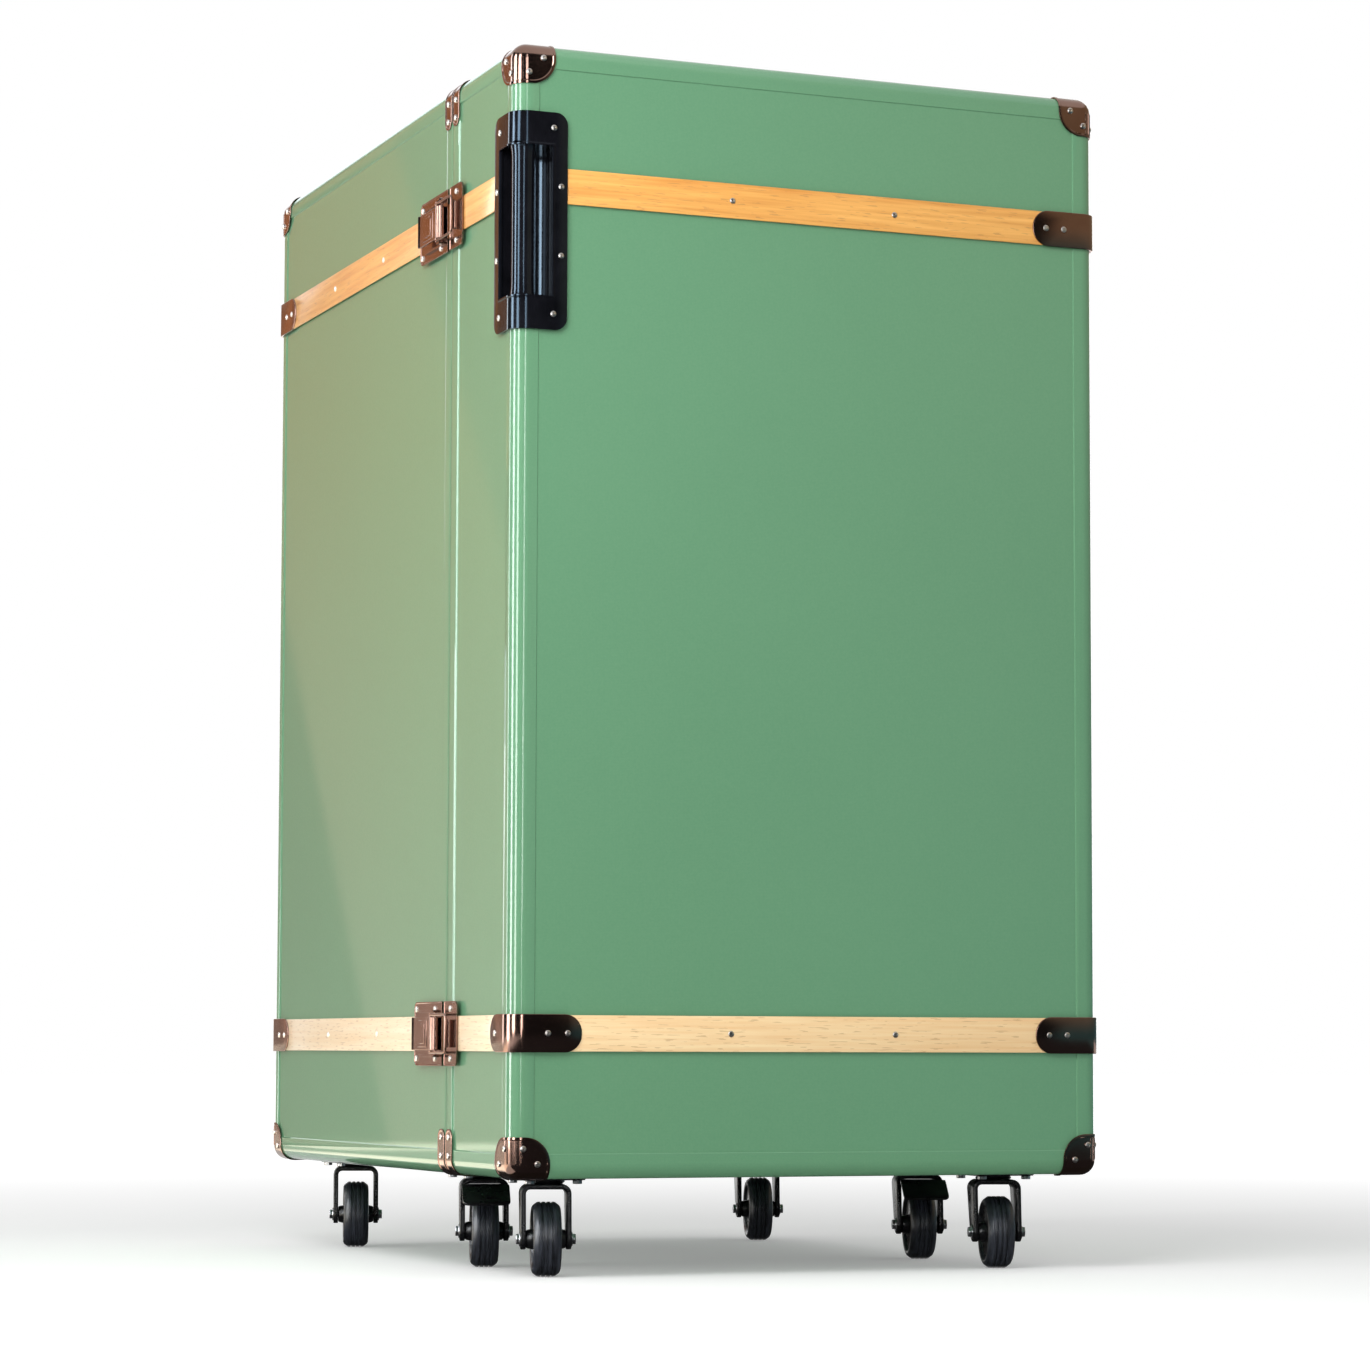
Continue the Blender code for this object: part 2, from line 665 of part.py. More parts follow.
def make_latch_keeper(row, height):
    """Makes a keeper on the door, with a catch that lies just under the loop."""
    name = f"latch_keeper_{row}"
    end = DOOR_BACK - PLATE_SPLIT_OFFSET
    start = end - KEEPER_LENGTH
    plate = bmesh.new()
    z = (height - PLATE_HEIGHT / 2, height + PLATE_HEIGHT / 2)
    add_face_box(plate, "left", (start, end), z, (PLATE_BACK, PLATE_FACE))
    round_far_corners(plate, start)
    part = new_part(name, to_mesh(name, plate), "bronze", "door")
    catch_y = (DOOR_BACK - CATCH_OFFSET - CATCH_THICKNESS, DOOR_BACK - CATCH_OFFSET)
    catch_z = (height - CATCH_WIDTH / 2, height + CATCH_WIDTH / 2)
    added = bmesh.new()
    add_face_box(added, "left", catch_y, catch_z, (PLATE_MIDDLE, LOOP_PIVOT_OUT - LOOP_WIRE - CATCH_GAP))
    for sign in (-1, 1):
        z_screw = height + sign * (PLATE_HEIGHT / 2 - PLATE_SCREW_INSET)
        add_screw(added, "left", (start + end) / 2, z_screw, PLATE_FACE)
    join(part, f"{name}_catch", added)


def lever_outline():
    """Returns the lever's outline from its pivot: X runs back along the case and Y runs out from it."""
    top = LOOP_PIVOT_RISE + LOOP_WIRE
    floor = LOOP_PIVOT_RISE - LEVER_THICKNESS
    face = LOOP_PIVOT_RISE
    tail = LEVER_HEAD_LENGTH + LEVER_THICKNESS
    bend = LEVER_LENGTH - LEVER_TIP_LENGTH
    return [
        *arc((0, 0), LEVER_HEAD_RADIUS, 90, 270, 2 * EDGE_STEPS),
        (LEVER_HEAD_LENGTH, -LEVER_HEAD_RADIUS),
        (tail, floor),
        (bend, floor),
        (LEVER_LENGTH, floor + LEVER_TIP_RISE),
        (LEVER_LENGTH, face + LEVER_TIP_RISE),
        (bend, face),
        (tail, face),
        (LEVER_HEAD_LENGTH, top),
        (LEVER_HEAD_RADIUS, top),
    ]


def make_latch_lever(row, height):
    """Makes a latch lever, with its pins, on its pivot."""
    name = f"latch_lever_{row}"
    pivot = on_face("left", LEVER_PIVOT_Y, height, LEVER_PIVOT_OUT)
    turn = Matrix.Rotation(math.radians(90), 4, "Z")
    mesh = outline_mesh(name, lever_outline(), LEVER_WIDTH)
    part = new_part(name, mesh, "bronze", "main", Matrix.Translation(pivot) @ turn)
    reach = Vector((0, 0, EAR_INNER + EAR_THICKNESS))
    pins = bmesh.new()
    add_cylinder(pins, pivot - reach, pivot + reach, LEVER_PIN_RADIUS, PIN_SIDES)
    join(part, f"{name}_pins", pins)


def make_latch_loop(row, height):
    """Makes a latch loop of wire, with its origin on its pivot in the lever."""
    name = f"latch_loop_{row}"
    inner = LEVER_WIDTH / 2 + FIT_GAP
    bend = LOOP_REACH - LOOP_CORNER
    side = LOOP_HALF - LOOP_CORNER
    upper = arc((bend, side), LOOP_CORNER, 90, 0, EDGE_STEPS)
    lower = [(forward, -up) for forward, up in reversed(upper)]
    points = [(0, inner), (0, LOOP_HALF), *upper, *lower, (0, -LOOP_HALF), (0, -inner)]
    curve = bpy.data.curves.new(name, "CURVE")
    curve.dimensions = "3D"
    curve.bevel_depth = LOOP_WIRE
    curve.bevel_resolution = 2
    curve.use_fill_caps = True
    spline = curve.splines.new("POLY")
    spline.points.add(len(points) - 1)
    for point, (forward, up) in zip(spline.points, points):
        point.co = (0, -forward, up, 1)
    pivot = on_face("left", LOOP_PIVOT_Y, height, LOOP_PIVOT_OUT)
    new_part(name, curve, "bronze", "main", Matrix.Translation(pivot))


def hinge_knuckles(owner):
    """Returns the limits in Z of one half's knuckles: the case has the first and every other."""
    step = HINGE_LENGTH / HINGE_KNUCKLES
    base = BOX_MID - HINGE_LENGTH / 2
    gap = HINGE_KNUCKLE_GAP / 2
    first = 0 if owner == "main" else 1
    return [(base + i * step + gap, base + (i + 1) * step - gap) for i in range(first, HINGE_KNUCKLES, 2)]


def make_hinge_leaf(owner):
    """Makes one leaf of the hinge with its knuckles; the case's leaf holds the pin, the door's is bored."""
    sign = HALVES[owner][0]
    name = f"hinge_leaf_{owner}"
    near = SPLIT + sign * HINGE_LEAF_GAP
    far = near + sign * HINGE_LEAF
    half = HINGE_LENGTH / 2
    leaf = bmesh.new()
    add_face_box(leaf, "right", (near, far), (BOX_MID - half, BOX_MID + half), (FIT_GAP, HINGE_FACE))
    part = new_part(name, to_mesh(name, leaf), "bronze", owner)
    web_out = (FIT_GAP + HINGE_LEAF_THICKNESS / 2, HINGE_STANDOFF)
    webs = bmesh.new()
    barrels = bmesh.new()
    for low, high in hinge_knuckles(owner):
        web_y = (near, SPLIT + sign * HINGE_WEB)
        add_face_box(webs, "right", web_y, (low, high), web_out)
        add_screw(webs, "right", far - sign * HINGE_SCREW_INSET, (low + high) / 2, HINGE_FACE)
        ends = (HINGE_X, SPLIT, low), (HINGE_X, SPLIT, high)
        add_cylinder(barrels, *ends, HINGE_KNUCKLE_RADIUS, HINGE_SIDES)
    join(part, f"{name}_webs", webs)
    join(part, f"{name}_barrels", barrels)
    reach = half + HINGE_PIN_OVERHANG
    ends = (HINGE_X, SPLIT, BOX_MID - reach), (HINGE_X, SPLIT, BOX_MID + reach)
    pin = bmesh.new()
    if owner == "main":
        add_cylinder(pin, *ends, HINGE_PIN_RADIUS, HINGE_SIDES)
        join(part, f"{name}_pin", pin)
    else:
        add_cylinder(pin, *ends, HINGE_PIN_RADIUS + FIT_GAP, HINGE_SIDES)
        cut(part, f"{name}_bore", pin)


def edge_block(inset, proud, z, radius=0.0):
    """Returns a block round the door's left front edge, with the outer edge rounded."""
    low = (-HALF_W - proud, -HALF_D - proud, z[0])
    shape = bmesh.new()
    add_box(shape, low, (inset - HALF_W, inset - HALF_D, z[1]))
    if radius:
        ends = [nearest_vertex(shape, (low[0], low[1], height)) for height in z]
        edge = [edge for edge in ends[0].link_edges if ends[1] in edge.verts]
        round_edges(shape, edge, radius, EDGE_STEPS)
    return shape


def make_handle(door_shell, box_cutter):
    """Makes the recessed corner handle: a housing with a pocket, a grip bar across it, and its screws."""
    block = edge_block(HANDLE_LEG, HANDLE_PROUD, HANDLE_Z, EDGE_RADIUS + HANDLE_PROUD)
    inner = [nearest_vertex(block, (HANDLE_LEG - HALF_W, HANDLE_LEG - HALF_D, z)) for z in HANDLE_Z]
    level = [edge for vert in inner for edge in vert.link_edges if edge.other_vert(vert) not in inner]
    round_edges(block, level, HANDLE_CORNER, EDGE_STEPS)
    part = new_part("handle", to_mesh("handle", block), "handle_black", "door")
    add_boolean(part, box_cutter, "DIFFERENCE")
    join(part, "handle_pocket", edge_block(HANDLE_POCKET, HANDLE_SINK, POCKET_Z, EDGE_RADIUS + HANDLE_SINK))
    cut(part, "handle_cavity", edge_block(HANDLE_CAVITY, 2 * HANDLE_PROUD, MOUTH_Z))

    added = bmesh.new()
    grip = (GRIP_RADIUS - HALF_W, GRIP_RADIUS - HALF_D)
    ends = (*grip, MOUTH_Z[0] - GRIP_SINK), (*grip, MOUTH_Z[1] + GRIP_SINK)
    add_cylinder(added, *ends, GRIP_RADIUS, GRIP_SIDES)
    middle = (HANDLE_Z[0] + HANDLE_Z[1]) / 2
    band_rise = (HANDLE_HEIGHT - HANDLE_BAND) / 2
    for rise, inset in ((band_rise, HANDLE_BAND_SCREW), (HANDLE_SCREW_SPREAD, HANDLE_FLANGE / 2)):
        for z in (middle - rise, middle + rise):
            add_screw(added, "front", HANDLE_LEG - inset - HALF_W, z, HANDLE_PROUD)
            add_screw(added, "left", HANDLE_LEG - inset - HALF_D, z, HANDLE_PROUD)
    join(part, "handle_grip", added)

    cut(door_shell, "handle_notch", edge_block(HANDLE_POCKET + FIT_GAP, HANDLE_PROUD, NOTCH_Z))


def make_rim():
    """Makes the lip round the mouth of the case, which reaches a little way into the door."""
    y = (DOOR_BACK - RIM_REACH, DOOR_BACK - RIM_REACH + RIM_LENGTH)
    x = INNER_X - RIM_CLEARANCE
    z = (INNER_LOW + RIM_CLEARANCE, INNER_HIGH - RIM_CLEARANCE)
    frame = bmesh.new()
    add_box(frame, (-x, y[0], z[0]), (x, y[1], z[1]))
    lengthwise = [edge for edge in frame.edges if abs(edge.verts[0].co.y - edge.verts[1].co.y) > RIM_REACH]
    round_edges(frame, lengthwise, INNER_ROUND, EDGE_STEPS)
    part = new_part("main_rim", to_mesh("main_rim", frame), "bronze", "main")
    hole = bmesh.new()
    low = Vector((RIM_THICKNESS - x, y[0] - RIM_LENGTH, z[0] + RIM_THICKNESS))
    add_box(hole, low, (x - RIM_THICKNESS, y[1] + RIM_LENGTH, z[1] - RIM_THICKNESS))
    cut(part, "main_rim_hole", hole)


def shelf_heights(rows):
    """Returns the undersides of the shelves that divide the inside height into equal rows."""
    step = (INNER_HIGH - INNER_LOW + BOARD) / rows
    return [INNER_LOW + step * i - BOARD for i in range(1, rows)]


def make_bottle_rack():
    """Makes the bottle bays: shelves and upright dividers, joined where they cross."""
    x = INNER_X - FIT_GAP
    y = (MAIN_FRONT + BAY_SETBACK, INNER_BACK - INNER_ROUND)
    shelves = bmesh.new()
    for z in shelf_heights(BAY_ROWS):
        add_box(shelves, (-x, y[0], z), (x, y[1], z + BOARD))
    part = new_part("bottle_rack", to_mesh("bottle_rack", shelves), "walnut", "main")
    dividers = bmesh.new()
    step = (2 * INNER_X + BOARD) / BAY_COLUMNS
    for i in range(1, BAY_COLUMNS):
        left = step * i - BOARD - INNER_X
        add_box(dividers, (left, y[0], INNER_LOW + FIT_GAP), (left + BOARD, y[1], INNER_HIGH - FIT_GAP))
    join(part, "bottle_dividers", dividers)


def make_door_rack():
    """Makes the door's shelves and rails between two posts, all clear of the handle's pocket."""
    x = INNER_X - FIT_GAP
    y = (INNER_FRONT + INNER_ROUND, INNER_FRONT + DOOR_SHELF_DEPTH)
    shelves = bmesh.new()
    floors = [INNER_LOW]
    for z in shelf_heights(DOOR_ROWS):
        add_box(shelves, (-x, y[0], z), (x, y[1], z + BOARD))
        floors.append(z + BOARD)
    part = new_part("door_rack", to_mesh("door_rack", shelves), "walnut", "door")
    posts = bmesh.new()
    post_z = (INNER_LOW + INNER_ROUND, INNER_HIGH - INNER_ROUND)
    for sign in SIDES.values():
        add_box(posts, (sign * x, y[1] - DOOR_POST, post_z[0]), (sign * (x - BOARD), y[1], post_z[1]))
    join(part, "door_rack_posts", posts)
    rails = bmesh.new()
    for z in floors:
        end = Vector((x - BOARD / 2, y[1] - RAIL_SETBACK, z + RAIL_RISE))
        add_cylinder(rails, end * Vector((-1, 1, 1)), end, RAIL_RADIUS, RAIL_SIDES)
    join(part, "door_rack_rails", rails)
    cut(part, "door_rack_notch", edge_block(HANDLE_POCKET + FIT_GAP, 0, NOTCH_Z))


def make_caster_plate(place, x, y):
    """Makes a swivel plate with its bearing race and its bolts."""
    name = f"caster_plate_{place}"
    half = CASTER_PLATE / 2
    plate = bmesh.new()
    plate_high = PLATE_LOW_Z + CASTER_PLATE_THICKNESS
    add_box(plate, (x - half, y - half, PLATE_LOW_Z), (x + half, y + half, plate_high))
    part = new_part(name, to_mesh(name, plate), "black_steel", place.split("_")[0])
    added = bmesh.new()
    inside = PLATE_LOW_Z + CASTER_PLATE_THICKNESS / 2
    add_cylinder(added, (x, y, PLATE_LOW_Z - RACE_HEIGHT), (x, y, inside), RACE_RADIUS, RACE_SIDES)
    reach = half - BOLT_INSET
    for bolt_x in (x - reach, x + reach):
        for bolt_y in (y - reach, y + reach):
            low = (bolt_x, bolt_y, PLATE_LOW_Z - BOLT_HEIGHT)
            add_cylinder(added, low, (bolt_x, bolt_y, inside), BOLT_RADIUS, SCREW_SIDES)
    join(part, f"{name}_race", added)


def axle_profile():
    """Returns an axle bolt with its head and nut, from end to end."""
    seat = FORK_OUTER - SCREW_SINK
    end = FORK_OUTER + AXLE_HEAD
    upper = [(0, end), (AXLE_HEAD_RADIUS, end), (AXLE_HEAD_RADIUS, seat), (AXLE_RADIUS, seat)]
    return upper + [(radius, -height) for radius, height in reversed(upper)]


def fork_mesh():
    """Returns a fork with its pivot on Z and its wheel towards -Y: a crown, two legs and the axle."""
    half = FORK_CROWN_LENGTH / 2
    crown = bmesh.new()
    add_box(crown, (-FORK_OUTER, -half, CROWN_LOW), (FORK_OUTER, half, CROWN_HIGH))
    fork = new_cutter("fork_crown", to_mesh("fork_crown", crown))
    leg_top = (CROWN_LOW + CROWN_HIGH) / 2
    eye = arc((-CASTER_TRAIL, AXLE_HEIGHT), FORK_EYE_RADIUS, 10, -190, 2 * EDGE_STEPS)
    outline = [(-FORK_LEG_FRONT, leg_top), (FORK_LEG_BACK, leg_top), *eye]
    leg = outline_mesh("fork_leg", outline, FORK_THICKNESS)
    helpers = []
    for side, sign in SIDES.items():
        helper = new_cutter(f"fork_leg_{side}", leg)
        helper.matrix_basis = Matrix.Translation((sign * (FORK_GAP + FORK_THICKNESS) / 2, 0, 0)) @ UPRIGHT
        helpers.append(helper)
    axle = new_cutter("fork_axle", profile_mesh("fork_axle", axle_profile(), closed=False))
    axle_place = Matrix.Translation((0, -CASTER_TRAIL, AXLE_HEIGHT))
    axle.matrix_basis = axle_place @ Matrix.Rotation(math.pi / 2, 4, "Y")
    add_turning(axle, AXLE_STEPS)
    helpers.append(axle)
    for helper in helpers:
        add_boolean(fork, helper, "UNION")
    mesh = baked_mesh(fork, "caster_fork")
    for thing in (fork, *helpers):
        bpy.data.objects.remove(thing, do_unlink=True)
    return mesh


def wheel_profile():
    """Returns a wheel's section: bore, hub, web, tyre wall and tread, and the same below."""
    hub_half = FORK_GAP / 2 - HUB_GAP
    upper = [
        (AXLE_RADIUS + FIT_GAP, hub_half),
        (HUB_RADIUS, hub_half),
        (WEB_RADIUS, WEB_HALF),
        (WHEEL_RADIUS - TYRE_WALL, TYRE_HALF),
        (WHEEL_RADIUS, TREAD_HALF),
    ]
    return upper + [(radius, -height) for radius, height in reversed(upper)]


def pedal_outline():
    """Returns a brake pedal from the side, from its pivot: level at first, then sloping down."""
    half = PEDAL_THICKNESS / 2
    middle = [(half, 0), (-PEDAL_FLAT, 0), (-PEDAL_REACH, -PEDAL_SLOPE)]
    above = [(along, up + half) for along, up in middle]
    below = [(along, up - half) for along, up in reversed(middle)]
    return above + below


def make_casters():
    """Makes the plates, forks, wheels and brake pedals; all the forks trail the same way at rest."""
    fork = fork_mesh()
    wheel = profile_mesh("caster_wheel", wheel_profile(), closed=True)
    pedal = outline_mesh("brake_pedal", pedal_outline(), FORK_GAP - 2 * FIT_GAP)
    hub = Matrix.Translation((0, -CASTER_TRAIL, AXLE_HEIGHT)) @ Matrix.Rotation(math.pi / 2, 4, "Y")
    facet_down = Matrix.Rotation(math.pi / WHEEL_STEPS, 4, "Z")
    pedal_seat = Matrix.Translation((0, -PEDAL_PIVOT, PEDAL_Z)) @ UPRIGHT
    for place, (x, y) in CASTERS.items():
        owner = place.split("_")[0]
        pivot = Matrix.Translation((x, y, 0)) @ Matrix.Rotation(-CASTER_HEADING, 4, "Z")
        make_caster_plate(place, x, y)
        new_part(f"caster_fork_{place}", fork, "black_steel", owner, pivot)
        part = new_part(f"caster_wheel_{place}", wheel, "rubber", owner, pivot @ hub @ facet_down)
        add_turning(part, WHEEL_STEPS)
        if place in BRAKED_CASTERS:
            new_part(f"brake_pedal_{place}", pedal, "black_steel", owner, pivot @ pedal_seat)


def build():
    """Builds the whole trunk."""
    box_cutter = make_box_cutter()
    make_shell("main_shell", "main", MAIN_FRONT, HALF_D, MAIN_FRONT)
    door_shell = make_shell("door_shell", "door", -HALF_D, DOOR_BACK, DOOR_BACK)
    make_slats()
    make_slat_caps()
    make_split_straps()
    make_corners(box_cutter)
    for row, height in ROWS.items():
        make_latch_plate(row, height)
        make_latch_keeper(row, height)
        make_latch_lever(row, height)
        make_latch_loop(row, height)
    for owner in HALVES:
        make_hinge_leaf(owner)
    make_handle(door_shell, box_cutter)
    make_rim()
    make_bottle_rack()
    make_door_rack()
    make_casters()


clear_scene()
PARTS = new_collection("wine_trunk")
CUTTERS = new_collection("cutters")
DOOR_HINGE = new_anchor("door_hinge", (HINGE_X, SPLIT, BOX_MID))
build()
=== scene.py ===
import math

import bmesh
import bpy
from mathutils import Matrix, Quaternion, Vector


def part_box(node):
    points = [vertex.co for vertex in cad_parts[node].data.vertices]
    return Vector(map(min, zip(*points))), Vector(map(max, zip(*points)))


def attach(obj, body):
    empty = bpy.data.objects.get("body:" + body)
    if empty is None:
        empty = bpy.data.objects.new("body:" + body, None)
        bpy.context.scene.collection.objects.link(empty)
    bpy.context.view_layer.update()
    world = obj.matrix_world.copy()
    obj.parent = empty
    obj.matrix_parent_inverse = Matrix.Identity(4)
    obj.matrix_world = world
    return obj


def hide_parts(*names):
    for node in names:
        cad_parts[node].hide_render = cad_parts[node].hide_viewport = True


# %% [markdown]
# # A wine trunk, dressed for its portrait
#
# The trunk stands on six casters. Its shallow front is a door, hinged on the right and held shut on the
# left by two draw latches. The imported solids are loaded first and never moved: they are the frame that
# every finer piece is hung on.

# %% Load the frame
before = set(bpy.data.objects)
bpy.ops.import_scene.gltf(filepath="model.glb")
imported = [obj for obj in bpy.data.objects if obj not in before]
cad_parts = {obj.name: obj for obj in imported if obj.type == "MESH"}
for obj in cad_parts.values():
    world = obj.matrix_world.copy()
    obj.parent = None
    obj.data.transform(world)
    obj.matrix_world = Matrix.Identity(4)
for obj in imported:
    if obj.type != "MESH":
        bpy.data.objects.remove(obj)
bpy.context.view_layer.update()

# %% [markdown]
# ## Sizes that many pieces share
#
# Most pieces sit on the faces of one big box, so its half sizes are measured once from the two shells. A
# piece is then placed by saying how far it stands out from a face, which is how a trunk maker would put it
# too.

# %% Measure the box
main_low, main_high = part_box("main_shell")
door_low, door_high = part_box("door_shell")
HALF_W = main_high.x
HALF_D = main_high.y
BOX_LOW = main_low.z
BOX_HIGH = main_high.z
BOX_MID = (BOX_LOW + BOX_HIGH) / 2
HALF_H = (BOX_HIGH - BOX_LOW) / 2
EDGE_RADIUS = 0.016
EDGE_STEPS = 10
ROW_IN = 0.152
ROWS = {"upper": BOX_HIGH - ROW_IN, "lower": BOX_LOW + ROW_IN}
SIDES = {"left": -1, "right": 1}
ENDS = {"bottom": -1, "top": 1}
HALVES = {"door": (-1, "front", "door"), "main": (1, "back", "main_case")}
OUTWARD = {"front": (0, -1, 0), "back": (0, 1, 0), "left": (-1, 0, 0), "right": (1, 0, 0)}
print("box", 2 * HALF_W, "x", 2 * HALF_D, "x", 2 * HALF_H, "m, split at y", door_high.y)

# %% [markdown]
# ## Camera
#
# The photograph was taken from near the floor, with a long lens that looks slightly up at the near edge. A
# camera can be set by eye, but here the screws help: their places on the box are known, so 26 of them were
# matched with where the photograph shows them. That gives the place, the direction and the lens. A small
# shift sets the trunk's height in the frame, and a lean of a sixth of a degree sets it upright. The
# Standard view transform shows colours as they are written.

# %% Set up the camera
LENS = 105.3
LOOK = Vector((0.37094, 0.92543, 0.07696))
LEAN = math.radians(0.158)
camera = bpy.data.objects.new("camera", bpy.data.cameras.new("camera"))
camera.data.lens = LENS
camera.data.sensor_width = 36.0
camera.data.shift_y = 0.040
camera.location = (-1.7285, -4.3863, 0.2409)
aim = LOOK.to_track_quat("-Z", "Y") @ Quaternion((0, 0, 1), LEAN)
camera.rotation_euler = aim.to_euler()
bpy.context.scene.collection.objects.link(camera)
bpy.context.scene.camera = camera
bpy.context.scene.view_settings.view_transform = "Standard"
print("camera at", tuple(camera.location), "lens", camera.data.lens, "mm")

# %% [markdown]
# ## Shader maths in plain Python
#
# A finish is a small network of nodes. Wiring each node by hand is long-winded, so one little class wraps a
# socket and lets it be added, multiplied and compared like a number. Each operator adds one Math node. Any
# other node comes from the method `add`, which takes its settings first and then the values or links of its
# sockets.


# %% Wrap a socket
class Wire:
    """A shader socket that takes part in Python expressions."""

    def __init__(self, tree, socket):
        self.tree = tree
        self.socket = socket

    def add(self, kind, settings=None, sockets=None, out=0):
        """Adds a node of any kind and returns one of its outputs."""
        node = self.tree.nodes.new("ShaderNode" + kind)
        for name, value in (settings or {}).items():
            setattr(node, name, value)
        for name, value in (sockets or {}).items():
            if isinstance(value, Wire):
                self.tree.links.new(value.socket, node.inputs[name])
            else:
                node.inputs[name].default_value = value
        return Wire(self.tree, node.outputs[out])

    def math(self, operation, first, second):
        """Adds a Math node on two values, each a wire or a number."""
        return self.add("Math", {"operation": operation}, {0: first, 1: second})

    def __add__(self, other):
        return self.math("ADD", self, other)

    def __sub__(self, other):
        return self.math("SUBTRACT", self, other)

    def __rsub__(self, other):
        return self.math("SUBTRACT", other, self)

    def __mul__(self, other):
        return self.math("MULTIPLY", self, other)

    def __pow__(self, other):
        return self.math("POWER", self, other)

    def __gt__(self, other):
        return self.math("GREATER_THAN", self, other)

    __radd__ = __add__
    __rmul__ = __mul__

    def sine(self):
        """The sine of a value."""
        return self.math("SINE", self, 0.0)

    def clamp(self):
        """The value kept between 0 and 1."""
        return self.add("Clamp", None, {0: self})

    def scaled(self, vector):
        """A vector stretched along its axes."""
        return self.add("VectorMath", {"operation": "MULTIPLY"}, {0: self, 1: vector})

    def noise(self, scale, detail=2.0, rough=0.5):
        """Smooth noise between 0 and 1 over a vector."""
        sockets = {"Vector": self, "Scale": scale, "Detail": detail, "Roughness": rough}
        return self.add("TexNoise", None, sockets)

    def mix(self, low, high):
        """Two colours blended by this value."""
        colours = [colour if isinstance(colour, Wire) else (*colour, 1.0) for colour in (low, high)]
        settings = {"data_type": "RGBA"}
        return self.add("Mix", settings, {0: self, 6: colours[0], 7: colours[1]}, out=2)

    def bump(self, distance, strength=1.0, normal=None):
        """A bump from this height, on top of another bump if one is given."""
        sockets = {"Height": self, "Distance": distance, "Strength": strength}
        if normal is not None:
            sockets["Normal"] = normal
        return self.add("Bump", None, sockets)

    def axes(self):
        """The three parts of a vector."""
        node = self.add("SeparateXYZ", None, {0: self}).socket.node
        return [Wire(self.tree, output) for output in node.outputs]


def new_finish(name, **constants):
    """Makes a material and returns it with its shader and the wire of the piece's own coordinates."""
    material = bpy.data.materials.new(name)
    material.use_nodes = True
    tree = material.node_tree
    shader = tree.nodes["Principled BSDF"]
    for key, value in constants.items():
        shader.inputs[key.replace("_", " ")].default_value = value
    return material, shader, Wire(tree, tree.nodes.new("ShaderNodeTexCoord").outputs["Object"])


def feed(shader, **wires):
    """Links wires to a shader's sockets."""
    for key, wire in wires.items():
        wire.tree.links.new(wire.socket, shader.inputs[key.replace("_", " ")])


print("shader helpers ready")

# %% [markdown]
# ## Studio
#
# The trunk stands on a plain white floor that runs on into a white background. A brighter world would
# whiten the background, but it would wash out the trunk too. So Light Path tells the rays apart: the
# camera, reflections and glass see full white, and the light that falls on the trunk is weaker.


# %% Light the world
def light_path(tree):
    """Returns 1 for rays from the camera, reflections and glass, else 0."""
    node = tree.nodes.new("ShaderNodeLightPath")
    names = ("Is Camera Ray", "Is Glossy Ray", "Is Transmission Ray")
    seen = [Wire(tree, node.outputs[name]) for name in names]
    return (seen[0] + seen[1] + seen[2]).clamp()


world = bpy.data.worlds.new("studio")
bpy.context.scene.world = world
world.use_nodes = True
WORLD_LIGHT = 0.55
backdrop = world.node_tree.nodes["Background"]
backdrop.inputs["Color"].default_value = (1.0, 1.0, 1.0, 1.0)
shown = light_path(world.node_tree)
feed(backdrop, Strength=shown * (1.0 - WORLD_LIGHT) + WORLD_LIGHT)
print("world light:", WORLD_LIGHT)

# %% [markdown]
# Two tall strip lamps draw thin lines down the rounded edges, and a broad lamp fills the front. The broad
# one would show as a square in the glossy covering, so reflections don't see it.


# %% Hang the lamps
def strip_light(name, place, target, size, power):
    """Adds a rectangular lamp that faces a point."""
    lamp = bpy.data.lights.new(name, "AREA")
    lamp.shape = "RECTANGLE"
    lamp.size, lamp.size_y = size
    lamp.energy = power
    holder = bpy.data.objects.new(name, lamp)
    holder.location = place
    holder.rotation_euler = (Vector(target) - Vector(place)).to_track_quat("-Z", "Y").to_euler()
    bpy.context.scene.collection.objects.link(holder)
    return holder


strip_light("strip_left", (-3.3, -0.40, 1.0), (-0.34, -0.40, 0.8), size=(0.18, 2.6), power=24)
strip_light("strip_near_camera", (-1.15, -4.4, 1.1), (-0.2, -0.45, 0.8), size=(0.12, 2.0), power=16)
front_fill = strip_light("front_fill", (-1.3, -1.6, 1.7), (-0.15, -0.4, 0.7), size=(1.2, 1.2), power=31)
front_fill.visible_glossy = False

# %% [markdown]
# The floor is one big face. To the camera it glows a little, and more so further out, so that it fades into
# the background while the trunk keeps its shadow.

# %% Lay the floor
floor_shape = bmesh.new()
FLOOR_REACH = 30.0
bmesh.ops.create_grid(floor_shape, x_segments=1, y_segments=1, size=FLOOR_REACH)
floor_mesh = bpy.data.meshes.new("floor")
floor_shape.to_mesh(floor_mesh)
floor_shape.free()
floor = bpy.data.objects.new("floor", floor_mesh)
bpy.context.scene.collection.objects.link(floor)
floor_finish, floor_shader, floor_place = new_finish(
    "floor_white", Base_Color=(0.82, 0.82, 0.82, 1.0), Roughness=0.9, Specular_IOR_Level=0.0,
    Emission_Strength=1.0,
)
across, along, _ = floor_place.axes()
far = ((across * across + along * along) ** 0.5 * 0.35 - 0.35).clamp()
feed(floor_shader, Emission_Color=light_path(floor_finish.node_tree) * (far * 0.40 + 0.25))
floor_mesh.materials.append(floor_finish)
print("floor:", 2 * FLOOR_REACH, "m across")

